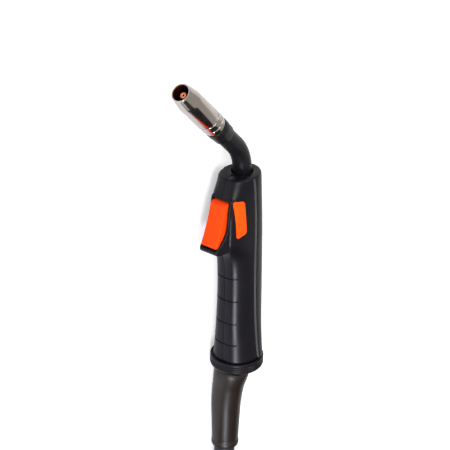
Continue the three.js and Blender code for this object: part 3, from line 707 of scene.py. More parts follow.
def dress_node(frame: dict, node: str, material: bpy.types.Material) -> None:
    """Gives a CAD node that stays in view its finish.

    Args:
        node: the node's name.
        material: its finish.
    """
    obj = frame["nodes"][node]
    obj.data.materials.clear()
    obj.data.materials.append(material)


# ---- the cable on the bench ----
@dataclass
class CableRun:
    """The free cable: from the bend sleeve's mouth along the bench, into a tied coil of five turns, and
    out to the central plug. Sizes in mm, in the bench frame."""

    radius: float = 8.0
    mouth: Triple = (85.962, 0.0, 11.2)
    coil_middle: Pair = (215.0, -60.0)
    lift: float = 1.6
    lower: tuple[float, ...] = (104.0, 88.0, 72.0)
    upper: tuple[float, ...] = (80.0, 96.0)
    joins_at: float = 132.4
    leaves_at: float = 90.0
    shift_from: float = 60.0
    shift_over: float = 80.0

    def stages(self) -> list[Pair]:
        """The coil's turns in their order, the upper ones lying in the hollows between the lower.

        Returns:
            The radius and the height of each turn's middle.
        """
        low = self.lift + self.radius
        high = low + 2 * self.radius * math.sin(math.pi / 3)
        return [(r, low) for r in self.lower] + [(r, high) for r in self.upper]

    def _turns(self) -> list[Vector]:
        """The coil's centreline, clockwise from where the cable joins it to where it leaves.

        Returns:
            The points, about 12 degrees apart.
        """
        stages = self.stages()
        low = stages[0][1]
        total = 360 * len(stages) + self.joins_at - self.leaves_at
        points = []
        steps = round(total / 12)
        for i in range(steps + 1):
            gone = total * i / steps
            # Each turn ends with a shift to the next one's place, all in one sector of the coil.
            place_on = (gone - self.shift_from) / 360
            stage = min(max(int(place_on), 0), len(stages) - 1)
            part = (place_on - stage) * 360 if place_on > 0 else 0
            ahead = stages[min(stage + 1, len(stages) - 1)]
            t = min(max((part - 360 + self.shift_over) / self.shift_over, 0), 1)
            ease = t * t * (3 - 2 * t)
            radius = stages[stage][0] + (ahead[0] - stages[stage][0]) * ease
            height = stages[stage][1] + (ahead[1] - stages[stage][1]) * ease
            angle = math.radians(self.joins_at - gone)
            # An upper turn rides over the lower ones where they shift under it.
            if stages[stage][1] > low + 1:
                height += 1.4 * math.sin(math.pi * t) ** 2
            points.append(Vector((
                self.coil_middle[0] + radius * math.cos(angle),
                self.coil_middle[1] + radius * math.sin(angle),
                height,
            )))
        return points

    def route(self) -> list[Vector]:
        """The whole centreline.

        Returns:
            Points from inside the sleeve's mouth to inside the plug's sleeve.
        """
        x, y, z = self.mouth
        start = [
            Vector(p) for p in [
                (x - 6.5, y, z), (x + 3, y, z - 0.2), (x + 13, 0, 10.4), (x + 23, 0.5, 9.8),
                (x + 35, 3.1, 9.6), (x + 47, 8.4, 9.6),
            ]
        ]
        end = [
            Vector(p) for p in [
                (229, 36, 24.8), (243, 36, 25.6), (257.5, 36, 25.6), (272.2, 36, 24.4),
                (290.1, 33.2, 22.2), (307, 26.4, 19.7), (321.5, 15.5, 18.2), (332.8, 1.6, 18.4),
                (339.6, -14.2, 20.7), (341.8, -28, 22.8), (342, -36, 23.4), (342, -42, 23.5),
            ]
        ]
        return [*start, *self._turns(), *end]

    def build(self, finishes: Finishes) -> bpy.types.Object:
        """Args:
            finishes: the torch's finishes.

        Returns:
            The cable.
        """
        points = [BENCH @ (p * MM) for p in self.route()]
        curve = bpy.data.curves.new("welding_cable", "CURVE")
        curve.dimensions = "3D"
        curve.bevel_depth = self.radius * MM
        curve.bevel_resolution = 6
        curve.resolution_u = 3
        curve.use_fill_caps = True
        spline = curve.splines.new("BEZIER")
        spline.bezier_points.add(len(points) - 1)
        for point, co in zip(spline.bezier_points, points):
            point.co = co
            point.handle_left_type = point.handle_right_type = "AUTO"
        obj = bpy.data.objects.new("welding_cable", curve)
        bpy.context.scene.collection.objects.link(obj)
        length = sum((b - a).length for a, b in zip(points, points[1:]))
        log.info("cable is %.3f m long", length)
        dress(obj, finishes.cable, Body.CABLE_SIDE, ["cable", "cable_coil", "cable_end"])
        return obj


# ---- the handle ----
@dataclass(frozen=True)
class Station:
    """The handle's section at one place along it: its back, widest place, half width, front and half of
    the flat on its front, in mm."""

    x: float
    back: float
    widest: float
    half: float
    front: float
    flat: float

    def values(self) -> tuple[float, ...]:
        """The section's five sizes."""
        return (self.back, self.widest, self.half, self.front, self.flat)


# Where the four screws cross the handle.
SHELL_SCREWS = ((21, -12.6), (80, -13.2), (134, -11.6), (95.4, 15.2))

STATIONS = (
    Station(0, 18.3, -2.5, 18.1, 17.6, 2.5),
    Station(10, 18.6, -2, 16.9, 17.1, 2.5),
    Station(30, 19.2, -1.4, 15.3, 17, 2.5),
    Station(50, 19.6, -0.8, 14.6, 16.9, 2.2),
    Station(71, 19.3, 0, 14.4, 17.4, 2.2),
    Station(88, 18.6, 0.4, 14.5, 19.6, 2.8),
    Station(97, 18, 0.7, 14.6, 23.6, 7),
    Station(103, 17.7, 0.9, 14.7, 25.8, 9),
    Station(120, 16.4, 1.6, 14.8, 25.4, 8.6),
    Station(137, 15.4, 2.8, 14.5, 23.6, 6),
    Station(146, 15.2, 3.4, 14.2, 20.8, 2.6),
    Station(152, 15, 4, 13.6, 19, 1.2),
)


@dataclass
class Handle:
    """The two-shell pistol handle: smooth grip with cross grooves, trigger pocket with its bezel and lip,
    badge recess, neck hole, screw wells and ball seat. Sizes in mm, in the torch's frame."""

    length: float = 152.0
    wall: float = 2.4
    top_wall: float = 4.0
    seam: float = 0.3
    spine_step: float = 0.7
    grooves: tuple[float, ...] = (14.7, 32.8, 52.0, 71.0)
    groove_width: float = 1.0
    groove_depth: float = 0.6
    groove_half: float = 10.0
    pocket: tuple[float, float, float] = (102.8, 137.5, 7.3)
    pocket_floor: float = 13.2
    switch_window: tuple[float, ...] = (116.3, 129.7, 7.8, 14.9, -3.2, 3.2)
    pocket_wall: float = 2.0
    lip_reach: float = 38.6
    lip_thickness: float = 3.6
    cheek: float = 2.2
    screws: tuple[Pair, ...] = SHELL_SCREWS
    badge: tuple[Pair, ...] = ((137.8, 22.2), (136.6, 13.8), (110.4, 11.4), (108.2, 20.7))
    neck_hole: float = 8.2
    seat: float = 15.35
    ball_x: float = -3.0

    def station(self, x: float) -> list[float]:
        """The section's sizes at x, on a smooth curve through the stations.

        Args:
            x: the place along the handle.

        Returns:
            Back, widest place, half width, front and half flat.
        """
        last = len(STATIONS) - 1
        i = min(max(max((k for k, s in enumerate(STATIONS) if s.x <= x), default=0), 0), last - 1)
        a, b = STATIONS[i], STATIONS[i + 1]
        before, after = STATIONS[max(i - 1, 0)], STATIONS[min(i + 2, last)]
        t = (x - a.x) / (b.x - a.x)
        ease = t * t * (3 - 2 * t)
        sizes = []
        for va, vb, v0, v3 in zip(a.values(), b.values(), before.values(), after.values()):
            slope_a = (vb - v0) / (b.x - before.x) * (b.x - a.x)
            slope_b = (v3 - va) / (after.x - a.x) * (b.x - a.x)
            bends = (t**3 - 2 * t * t + t) * slope_a + (t**3 - t * t) * slope_b
            sizes.append(va + (vb - va) * ease + bends)
        return sizes

    def section(self, x: float, inset: float, steps: int = 14) -> list[Vector]:
        """The handle's outline at x: flat front, two quarter ovals, and the spine that stands proud.

        Args:
            x: the place along the handle.
            inset: how far it is pulled in.
            steps: points on each quarter.

        Returns:
            The ring of points.
        """
        back, widest, half, front, flat = self.station(x)
        front_flat = max(flat - 0.4 * inset, 1)
        side: list[Pair] = []
        for i in range(steps + 1):
            a = math.pi / 2 * i / steps
            side.append((
                widest + (front - inset - widest) * math.cos(a),
                front_flat + (half - inset - front_flat) * math.sin(a),
            ))
        # Where the spine's cover meets the side, a fine groove runs along the handle.
        depth = max(0.5 - 0.3 * max(inset, 0), 0.03)
        side[-1] = (widest + 1.0, half - inset)
        side += [(widest + 0.75, half - inset - depth), (widest + 0.1, half - inset - depth)]
        top = widest - self.spine_step
        for i in range(steps + 1):
            a = math.pi / 2 * i / steps
            across = (half + self.spine_step - inset) * math.cos(a)
            side.append((top - (back - inset + top) * math.sin(a), across))
        side[-1] = (side[-1][0], 0.0)
        mirrored = [(y, -z) for y, z in reversed(side[:-1])]
        return [Vector((x, y, z)) for y, z in [*side, *mirrored]]

    def form(
        self, name: str, inset: float, start: float = 0.0, end: float | None = None, pitch: float = 2.0,
        round_top: float = 0.0,
    ) -> bpy.types.Object:
        """The whole handle's form between two places along it.

        Args:
            name: its name.
            inset: how far it is pulled in.
            start: where it starts.
            end: where it ends.
            pitch: how far apart its rings are.
            round_top: the radius at its upper end's edge.

        Returns:
            The closed form.
        """
        end = self.length if end is None else end
        span = end - round_top - start
        count = max(round(span / pitch), 1)
        rings = [self.section(start + span * i / count, inset) for i in range(count + 1)]
        for i in range(1, 6) if round_top else ():
            a = math.pi / 2 * i / 5
            x = end - round_top + round_top * math.sin(a)
            ring = self.section(min(x, self.length), inset + round_top * (1 - math.cos(a)))
            rings.append([Vector((x, p.y, p.z)) for p in ring])
        return skin(name, rings)

    def badge_tool(self, growth: float, low: float = 6.0, high: float = 30.0) -> bpy.types.Object:
        """The badge's slanted outline through the left shell.

        Args:
            growth: how far it is grown all round.
            low: its lower end.
            high: its upper end.

        Returns:
            The prism.
        """
        middle = sum((Vector(c) for c in self.badge), Vector((0, 0))) / 4
        grown = [
            (x + growth * math.copysign(1, x - middle.x), y + growth * math.copysign(1, y - middle.y))
            for x, y in self.badge
        ]
        return slab("tool", rounded(grown, 2.2), low, high)

    def _pocket_tool(self, extra: float, floor: float) -> bpy.types.Object:
        """The trigger's pocket as a block with rounded corners.

        Args:
            extra: how far its walls are pushed out.
            floor: its floor.

        Returns:
            The block.
        """
        start, end, half = self.pocket
        corners = [
            (start - extra, -half - extra), (end + extra, -half - extra),
            (end + extra, half + extra), (start - extra, half + extra),
        ]
        block = slab("tool", rounded(corners, 1.2 + extra, 5), 0, 60 - floor)
        # The outline lies in X and Z, and the block rises along Y.
        turn = Matrix(((1, 0, 0, 0), (0, 0, 1, floor * MM), (0, -1, 0, 0), (0, 0, 0, 1)))
        return place(block, turn)

    def _body(self) -> bpy.types.Object:
        """The handle in one piece, before it is split along its seam.

        Returns:
            The body.
        """
        body = self.form("handle", 0, pitch=1.6, round_top=1.6)
        lip_low = self.pocket[0] - self.lip_thickness
        top = self.lip_reach
        # The ledge under the trigger, its cheeks and the rim round the pocket are one raised form.
        rim = slab("tool", [
            (lip_low - 6, 17), (lip_low - 3.2, 22), (lip_low - 1.6, 26.5), (lip_low - 0.9, top - 5),
            (lip_low - 0.2, top - 1.8), (lip_low + 0.9, top - 0.4), (lip_low + 2.2, top),
            (lip_low + 3.8, top - 0.3), (lip_low + 5.4, top - 1.9), (lip_low + 8, top - 5),
            (lip_low + 11.4, top - 8.4), (lip_low + 15.4, top - 11), (lip_low + 20, top - 12.1),
            (lip_low + 27, top - 12.6), (lip_low + 34, top - 13.6), (lip_low + 39, top - 14.6),
            (lip_low + 40.4, top - 15.8), (lip_low + 40.6, 17),
        ], -self.pocket[2] - self.cheek, self.pocket[2] + self.cheek)
        soften(rim, 1.5, 4, 40)
        # The ledge narrows to its tip, where it only carries the trigger's heel.
        for vertex in rim.data.vertices:
            rise = min(max((vertex.co.y / MM - 31) / (top - 31), 0), 1)
            vertex.co.z *= 1 - 0.17 * rise * rise * (3 - 2 * rise)
        cut(body, rim, "UNION")
        cut(body, self.form("tool", self.wall, 14.0, self.length - self.top_wall, 4))
        floor = self._pocket_tool(self.pocket_wall, self.pocket_floor - 1.8)
        cut(floor, self.form("tool", 0.6, 60, self.length - 2, 4), "INTERSECT")
        cut(body, floor, "UNION")
        cut(body, self._pocket_tool(0, self.pocket_floor))
        cut(body, box_tool(*self.switch_window))
        cut(body, rod("tool", -5, 1.3, 16.9, 96), "UNION")
        cut(body, ball_tool(self.ball_x, self.seat))
        cut(body, rod("tool", -1, 16, 8.3, 64))
        cut(body, rod("tool", self.length - self.top_wall - 1, self.length + 1, self.neck_hole, 96))
        return body

    def _grooves(self, body: bpy.types.Object) -> None:
        """Cuts the four fine grooves across the grip.

        Args:
            body: the handle's body.
        """
        for x in self.grooves:
            band = box_tool(x - 1.5, x + 1.5, 6, 40, -self.groove_half, self.groove_half)
            keep = self.form("tool", self.groove_depth, x - 3, x + 3, 1)
            cut(band, keep)
            half = self.groove_width / 2
            slot_block = box_tool(x - half, x + half, 5, 45, -30, 30)
            cut(band, slot_block, "INTERSECT")
            cut(body, band)

    def build(self, finishes: Finishes) -> list[bpy.types.Object]:
        """Makes both shells.

        Args:
            finishes: the torch's finishes.

        Returns:
            The shells.
        """
        body = self._body()
        self._grooves(body)
        pieces = []
        for name, low, high in (
            ("handle_left", self.seam / 2, 40.0), ("handle_right", -40.0, -self.seam / 2)
        ):
            shell = copy_of(body, name)
            cut(shell, box_tool(-10, 160, -40, 60, low, high), "INTERSECT")
            if low > 0:
                recess = self.badge_tool(0.35)
                cut(recess, self.form("tool", 1.4, 95, 150, 2))
                cut(shell, recess)
            else:
                for x, y in self.screws:
                    cut(shell, cross_rod("tool", x, y, -30, -8.4, 3.0))
            soften(shell, 0.35, 2, 40)
            smooth(shell, 40)
            place(shell, TORCH)
            node = name.replace("handle_", "handle_shell_")
            pieces.append(dress(shell, finishes.shell, Body.HANDLE, [node]))
        bpy.data.objects.remove(body)
        return pieces

    def build_badge(self, finishes: Finishes) -> bpy.types.Object:
        """Makes the bare badge plate, crowned with the shell and rounded at its edge.

        Args:
            finishes: the torch's finishes.

        Returns:
            The badge.
        """
        plate = self.badge_tool(0.0)
        plate.name = "badge"
        cut(plate, self.form("tool", -0.25, 95, 150, 1.5), "INTERSECT")
        cut(plate, self.form("tool", 1.2, 95, 150, 1.5))
        soften(plate, 0.3, 3, 50)
        smooth(plate, 40)
        place(plate, TORCH)
        return dress(plate, finishes.badge, Body.HANDLE, ["badge_plate"])


# ---- the trigger ----
@dataclass
class Trigger:
    """The orange lever: hollow, with a dished front face, rounded edges and a small facet at its top.
    Sizes in mm, in the torch's frame."""

    top: float = 136.4
    bottom: float = 103.8
    half_width: float = 7.0
    wall: float = 1.6
    heel: float = 38.0
    crown: float = 28.0
    dish: float = 0.9
    spring_foot: Triple = (112.0, 13.5, 0.0)
    spring_length: float = 7.4
    spring_radius: float = 2.2
    spring_wire: float = 0.35
    spring_turns: int = 4

    def _front(self) -> list[Pair]:
        """The dished front, from the top's facet to the heel.

        Returns:
            Points along it.
        """
        start, end = self.top - 1.5, self.bottom + 2.2
        points = []
        for i in range(13):
            t = i / 12
            points.append((
                start + (end - start) * t,
                self.crown + (self.heel - self.crown) * t - self.dish * math.sin(math.pi * t),
            ))
        return points

    def _spring(self, finishes: Finishes) -> bpy.types.Object:
        """The return spring under the heel, which shortens as the trigger is pressed.

        Args:
            finishes: the torch's finishes.

        Returns:
            The spring.
        """
        foot, per_turn = Vector(self.spring_foot), 28
        steps = self.spring_turns * per_turn
        climb = self.spring_length - 2 * self.spring_wire
        slope = climb / steps * per_turn / (2 * math.pi * self.spring_radius)
        turns = [2 * math.pi * k / 12 for k in range(12)]
        rings = []
        for i in range(steps + 1):
            a = 2 * math.pi * i / per_turn
            out = Vector((math.cos(a), 0, math.sin(a)))
            rise = Vector((0, self.spring_wire + climb * i / steps, 0))
            across = Vector((-math.sin(a), slope, math.cos(a))).normalized().cross(out)
            rings.append([
                foot + rise + out * (self.spring_radius + self.spring_wire * math.cos(u))
                + across * (self.spring_wire * math.sin(u)) for u in turns
            ])
        spring = skin("return_spring", rings)
        smooth(spring, 50)
        place(spring, TORCH)
        dress(spring, finishes.steel, Body.HANDLE, ["trigger_spring"])
        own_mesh(spring)
        return spring

    def build(self, finishes: Finishes) -> list[bpy.types.Object]:
        """Makes the trigger and its spring.

        Args:
            finishes: the torch's finishes.

        Returns:
            The pieces.
        """
        outline = [
            (self.top, 18.6), (self.top, 25.4), (self.top - 0.5, 26.9), *self._front(),
            (self.bottom + 1.1, 37.8), (self.bottom + 0.5, 37.0), (self.bottom + 0.1, 34.6),
            (self.bottom, 27.6), (self.bottom + 1.2, 19.2),
        ]
        lever = slab("trigger_lever", outline, -self.half_width, self.half_width)
        soften(lever, 1.3, 5, 55)
        inner = self.half_width - self.wall
        hollow = slab("tool", [
            (self.top - 2.4, 12), (self.top - 2.4, 24.6), (self.bottom + 18, 29.4), (self.bottom + 4.2, 34.6),
            (self.bottom + 3.4, 12),
        ], -inner, inner)
        cut(lever, hollow)
        # The presser stands on the switch's button and the web takes the spring.
        cut(lever, box_tool(121.7, 124.3, 17.2, 29.8, -2, 2), "UNION")
        cut(lever, box_tool(108.6, 115.4, 21.2, 22.8, -inner - 0.4, inner + 0.4), "UNION")
        cut(lever, cross_rod("tool", 133.5, 20.2, -20, 20, 1.85, 32))
        smooth(lever, 30)
        place(lever, TORCH)
        dress(lever, finishes.orange, Body.TRIGGER, ["trigger"])
        return [lever, self._spring(finishes)]


# ---- the ball joint and what hangs on it ----
@dataclass
class BallJoint:
    """The ridged collar, the ball and the bend sleeve. Sizes in mm, in the torch's frame."""

    ball_radius: float = 15.0
    ball_x: float = -3.0
    seat: float = 15.35
    lean: float = math.radians(16)
    bend: float = 140.0
    bend_start: float = 13.0
    sleeve_start: float = 10.7
    sleeve_end: float = 84.0
    bore: float = 8.4
    spigot: float = 9.3
    flare: float = 13.2
    shank: float = 12.0
    tail: float = 9.9

    def line(self, t: float) -> tuple[Vector, float]:
        """The sleeve's centreline.

        Args:
            t: distance from the ball's centre.

        Returns:
            The point there and the tilt that is left.
        """
        gone = min(max((t - self.bend_start) / self.bend, 0), self.lean)
        left = self.lean - gone
        along = min(t, self.bend_start)
        after = max(t - self.bend_start - self.bend * self.lean, 0)
        x = along * math.cos(self.lean) + self.bend * (math.sin(self.lean) - math.sin(left)) + after
        z = along * math.sin(self.lean) + self.bend * (math.cos(left) - math.cos(self.lean))
        return Vector((self.ball_x - x, 0, -z)), left

    def ring(self, t: float, radius: float, count: int = 64) -> list[Vector]:
        """A ring round the sleeve's line.

        Args:
            t: distance from the ball's centre.
            radius: its radius.
            count: its points.

        Returns:
            The points.
        """
        middle, tilt = self.line(t)
        up = Vector((-math.sin(tilt), 0, math.cos(tilt)))
        turns = [2 * math.pi * k / count for k in range(count)]
        return [middle + up * (radius * math.cos(a)) + Vector((0, radius * math.sin(a), 0)) for a in turns]

    def _collar(self, finishes: Finishes) -> bpy.types.Object:
        """The ridged ring under the shells.

        Args:
            finishes: the torch's finishes.

        Returns:
            The collar.
        """
        outside: list[Pair] = [
            (-0.7, 17.25), (-0.7, 19.5), (-0.85, 19.9), (-1.2, 20.15), (-1.7, 20.2), (-2.6, 20.2),
        ]
        # One groove between two ridges: how far along it goes, and its radius there.
        groove = ((0.12, 20.12), (0.35, 19.72), (0.6, 19.66), (0.85, 19.8), (1.1, 20.1), (1.3, 20.2))
        for k in range(3):
            x = -2.6 - 1.55 * k
            outside += [(x - along, radius) for along, radius in groove]
        outside += [(-7.5, 20.15), (-8.3, 19.9), (-9.1, 19.3), (-9.5, 18.7), (-9.7, 18.0)]
        seat = []
        for k in range(7):
            x = -9.7 + (9.7 - 5.3) * k / 6
            seat.append((x, math.sqrt(self.seat**2 - (x - self.ball_x) ** 2)))
        collar = turned("collar", [*outside, *seat, (-5.3, 17.25)], 128)
        smooth(collar, 40)
        place(collar, TORCH)
        return dress(collar, finishes.shell, Body.HANDLE, ["collar_ring"])

    def _ball(self, finishes: Finishes) -> bpy.types.Object:
        """The hollow ball that the handle tilts and turns on.

        Args:
            finishes: the torch's finishes.

        Returns:
            The ball.
        """
        first = math.acos(-(self.sleeve_start - 0.3) / self.ball_radius)
        last = math.acos(8.0 / self.ball_radius)
        profile = []
        for k in range(25):
            a = first + (last - first) * k / 24
            profile.append((self.ball_radius * math.cos(a), self.ball_radius * math.sin(a)))
        profile += [(8.0, self.bore + 8.0 * math.tan(self.lean) + 0.4), (0, self.bore), (-4.7, self.bore)]
        profile += [(-4.7, self.spigot + 0.3), (-self.sleeve_start + 0.3, self.spigot + 0.3)]
        ball = turned("swivel_ball", profile, 96)
        smooth(ball, 35)
        middle = Matrix.Translation((self.ball_x * MM, 0, 0))
        place(ball, TORCH @ middle @ Matrix.Rotation(-self.lean, 4, "Y"))
        return dress(ball, finishes.shell, Body.KNUCKLE, ["knuckle_ball"])

    def _sleeve(self, finishes: Finishes) -> bpy.types.Object:
        """The tapered rubber bend protector.

        Args:
            finishes: the torch's finishes.

        Returns:
            The sleeve.
        """
        start, end = self.sleeve_start, self.sleeve_end
        wall: list[Pair] = [
            (start, 9.6), (start, 10.6), (start + 0.4, 11.4), (start + 1.1, 12.3), (13, 13.0),
            (14, self.flare), (17, self.flare),
        ]
        # An S-shaped shoulder 14 mm long, then a straight taper, and a bead round the mouth.
        for t in range(19, 32, 2):
            gone = 0.5 - 0.5 * math.cos(math.pi * (t - 17) / 14)
            wall.append((t, self.flare - (self.flare - self.shank) * gone))
        wall += [(t, self.shank - (self.shank - self.tail) * (t - 31) / 53) for t in range(34, 79, 4)]
        wall += [(79, 10.05), (79.6, 10.4), (81, 10.55), (82.8, 10.5), (83.6, 10.2)]
        wall += [(end, 9.7), (end, 9.0), (83.6, self.bore)]
        wall += [(t, self.bore) for t in (74, 64, 54, 44, 34, 24, 16, 11, 5.1)]
        wall += [(5.0, self.bore + 0.1), (5.0, self.spigot), (start, self.spigot), wall[0]]
        sleeve = skin("bend_protector", [self.ring(t, r) for t, r in wall], closed_ends=False)
        smooth(sleeve, 40)
        place(sleeve, TORCH)
        return dress(sleeve, finishes.rubber, Body.CABLE_SIDE, ["bend_sleeve"])

    def build(self, finishes: Finishes) -> list[bpy.types.Object]:
        """Makes the collar, the ball and the sleeve.

        Args:
            finishes: the torch's finishes.

        Returns:
            The pieces.
        """
        return [self._collar(finishes), self._ball(finishes), self._sleeve(finishes)]


# ---- the swan neck and its nose ----
@dataclass
class Neck:
    """The bent neck in its sleeve, the insulator, the gas nozzle and the contact tip. Sizes in mm, in the
    torch's frame; the nose's own axis runs along +X from the neck's end."""

    start: float = 152.0
    bend: float = math.radians(45.5)
    radius: float = 34.0
    straight: float = 34.0
    sleeve_radius: float = 7.0
    core_clear: float = 5.3
    tail: float = 14.0
    nozzle_length: float = 53.0
    cone: float = 13.0
    tip_length: float = 25.0
    tip_recess: float = 4.0

    @property
    def end(self) -> float:
        """The neck's length from the handle's top face."""
        return self.radius * self.bend + self.straight

    def frame_at(self, s: float) -> tuple[Vector, Vector]:
        """The neck's line.

        Args:
            s: distance from the handle's top face.

        Returns:
            The point there and its direction.
        """
        turn = min(max(s / self.radius, 0), self.bend)
        direction = Vector((math.cos(turn), math.sin(turn), 0))
        middle = Vector((self.start, 0, 0)) + Vector((math.sin(turn), 1 - math.cos(turn), 0)) * self.radius
        beyond = s if s < 0 else max(s - self.radius * self.bend, 0)
        return middle + direction * beyond, direction

    def ring(self, s: float, radius: float, count: int = 64) -> list[Vector]:
        """A ring round the neck's line.

        Args:
            s: distance from the handle's top face.
            radius: its radius.
            count: its points.

        Returns:
            The points.
        """
        middle, direction = self.frame_at(s)
        across = Vector((-direction.y, direction.x, 0))
        turns = [2 * math.pi * k / count for k in range(count)]
        return [
            middle + across * (radius * math.cos(a)) + Vector((0, 0, radius * math.sin(a))) for a in turns
        ]

    def nose(self) -> Matrix:
        """Where the nose's own axis lies in the part's frame."""
        middle, _ = self.frame_at(self.end)
        return TORCH @ Matrix.Translation(middle * MM) @ Matrix.Rotation(self.bend, 4, "Z")

    def _sleeve(self, finishes: Finishes) -> bpy.types.Object:
        """The black sleeve on the bent conductor.

        Args:
            finishes: the torch's finishes.

        Returns:
            The sleeve.
        """
        last = self.end - 16 + 9
        places = [-self.tail, -7.0, *[last * k / 30 for k in range(31)]]
        wall = [(s, self.sleeve_radius) for s in places]
        wall += [(last, self.core_clear)] + [(s, self.core_clear) for s in reversed(places[:-1])] + [wall[0]]
        sleeve = skin("neck_cover", [self.ring(s, r) for s, r in wall], closed_ends=False)
        smooth(sleeve, 40)
        place(sleeve, TORCH)
        return dress(sleeve, finishes.neck, Body.HANDLE, ["neck_sleeve"])

    def _insulator(self, finishes: Finishes) -> bpy.types.Object:
        """The insulator between neck and nozzle, stepped at its rear.

        Args:
            finishes: the torch's finishes.

        Returns:
            The insulator.
        """
        profile = [
            (-16, 7.3), (-16, 7.7), (-15.8, 7.95), (-15.4, 8.1), (-9.2, 8.2), (-8.9, 8.25), (-8.6, 8.5),
            (-8.2, 8.6), (-1.6, 8.6), (-1.3, 8.5), (-1.1, 8.2), (-0.3, 8.1), (-0.3, 5.3), (-6.7, 5.3),
            (-6.7, 7.3),
        ]
        piece = turned("nozzle_insulator", profile, 96)
        smooth(piece, 40)
        place(piece, self.nose())
        return dress(piece, finishes.neck, Body.HANDLE, ["neck_insulator"])

    def _nozzle(self, finishes: Finishes) -> bpy.types.Object:
        """The plated gas nozzle: two beads near its rear, and a coned mouth.

        Args:
            finishes: the torch's finishes.

        Returns:
            The nozzle.
        """
        length, cone = self.nozzle_length, self.cone
        profile: list[Pair] = [(0, 7.5), (0, 8.3), (0.25, 8.55), (3.0, 8.6)]
        for middle in (4.2, 10.6):
            for k in range(9):
                a = math.pi * k / 8
                profile.append((middle - 0.5 * math.cos(a), 8.62 + 0.3 * math.sin(a)))
        profile += [(12.6, 8.72), (13.4, 8.88), (length - cone - 1, 8.9), (length - cone + 0.6, 8.84)]
        profile += [(length - cone + 2, 8.6), (length - 1.4, 7.3), (length - 0.6, 7.15)]
        profile += [(length - 0.15, 6.95), (length, 6.7), (length, 6.2), (length - 0.3, 5.95)]
        profile += [(length - cone, 6.2), (12, 7.4), (0.4, 7.4)]
        nozzle = turned("conical_gas_nozzle", profile, 128)
        smooth(nozzle, 30)
        # Only the outside is plated: the bore is bare copper, stained by heat.
        bore = [
            face.index for face in nozzle.data.polygons
            if face.center.x > 12 * MM and face.normal.y * face.center.y + face.normal.z * face.center.z < 0
        ]
        place(nozzle, self.nose())
        dress(nozzle, finishes.nickel, Body.NOZZLE, ["gas_nozzle"])
        nozzle.data.materials.append(finishes.bore)
        for index in bore:
            nozzle.data.polygons[index].material_index = 1
        return nozzle

    def _tip(self, finishes: Finishes) -> bpy.types.Object:
        """The copper contact tip with its flats and its wire bore.

        Args:
            finishes: the torch's finishes.

        Returns:
            The tip.
        """
        end = self.nozzle_length - self.tip_recess
        start = end - self.tip_length
        profile = [
            (start, 0.6), (start, 2.7), (start + 0.3, 3), (end - 1.8, 3), (end - 1.2, 2.92),
            (end - 0.5, 2.6), (end - 0.15, 2.35), (end, 2.1), (end, 0.95), (end - 0.35, 0.6),
        ]
        tip = turned("copper_contact_tip", profile, 64)
        for side in (1, -1):
            low, high = sorted((side * 2.65, side * 5))
            cut(tip, box_tool(end - 9.5, end - 4.5, low, high, -5, 5))
        smooth(tip, 30)
        place(tip, self.nose())
        return dress(tip, finishes.copper, Body.HANDLE, ["contact_tip"])

    def build(self, finishes: Finishes) -> list[bpy.types.Object]:
        """Makes the neck and its nose.

        Args:
            finishes: the torch's finishes.

        Returns:
            The pieces.
        """
        makers = (self._sleeve, self._insulator, self._nozzle, self._tip)
        return [maker(finishes) for maker in makers]


# ---- screws ----
@dataclass
class Screws:
    """The pan-headed cross-recess screws of the handle and of the plug. Sizes in mm."""

    shell_places: tuple[Pair, ...] = SHELL_SCREWS
    plug_places: tuple[Pair, ...] = ((82.8, 14.1), (82.8, -14.1))

    def _screw(
        self, name: str, head_z: float, seat_z: float, tip_z: float, shaft: float, head: float
    ) -> bpy.types.Object:
        """One screw along Z through the origin.

        Args:
            name: its name.
            head_z: the head's outer face.
            seat_z: the head's seat.
            tip_z: its tip.
            shaft: its shaft's radius.
            head: its head's radius.

        Returns:
            The screw.
        """
        out = math.copysign(1, head_z - seat_z)
        profile = [
            (head_z, 0), (head_z, head * 0.62), (head_z - out * 0.25, head * 0.86),
            (head_z - out * 0.8, head), (seat_z, head), (seat_z, shaft), (tip_z + out * 0.8, shaft),
            (tip_z, shaft * 0.5), (tip_z, 0),
        ]
        screw = turned(name, profile, 48)
        near, far = sorted((head_z + out, head_z - out * 1.1))
        for wide, tall in ((0.32, head * 0.6), (head * 0.6, 0.32)):
            cut(screw, box_tool(near, far, -wide, wide, -tall, tall))
        smooth(screw, 30)
        return place(screw, Matrix.Rotation(-math.pi / 2, 4, "Y"))

    def build(self, finishes: Finishes, plug: Matrix) -> None:
        """Makes every screw.

        Args:
            finishes: the torch's finishes.
            plug: the plug's own frame.
        """
        first = self._screw("screw_pattern", -10.4, -8.4, 6.6, 1.5, 2.7)
        for k, (x, y) in enumerate(self.shell_places, 1):
            screw = copy_of(first, f"handle_screw_{k}", TORCH @ Matrix.Translation((x * MM, y * MM, 0)))
            dress(screw, finishes.steel, Body.HANDLE, [f"shell_screw_{k}"])
        bpy.data.objects.remove(first)
        first = self._screw("screw_pattern", 7.6, 5.7, -7.4, 1.2, 2.2)
        for k, (x, y) in enumerate(self.plug_places, 1):
            screw = copy_of(first, f"connector_screw_{k}", plug @ Matrix.Translation((x * MM, y * MM, 0)))
            dress(screw, finishes.steel, Body.CABLE_SIDE, [f"plug_screw_{k}"])
        bpy.data.objects.remove(first)


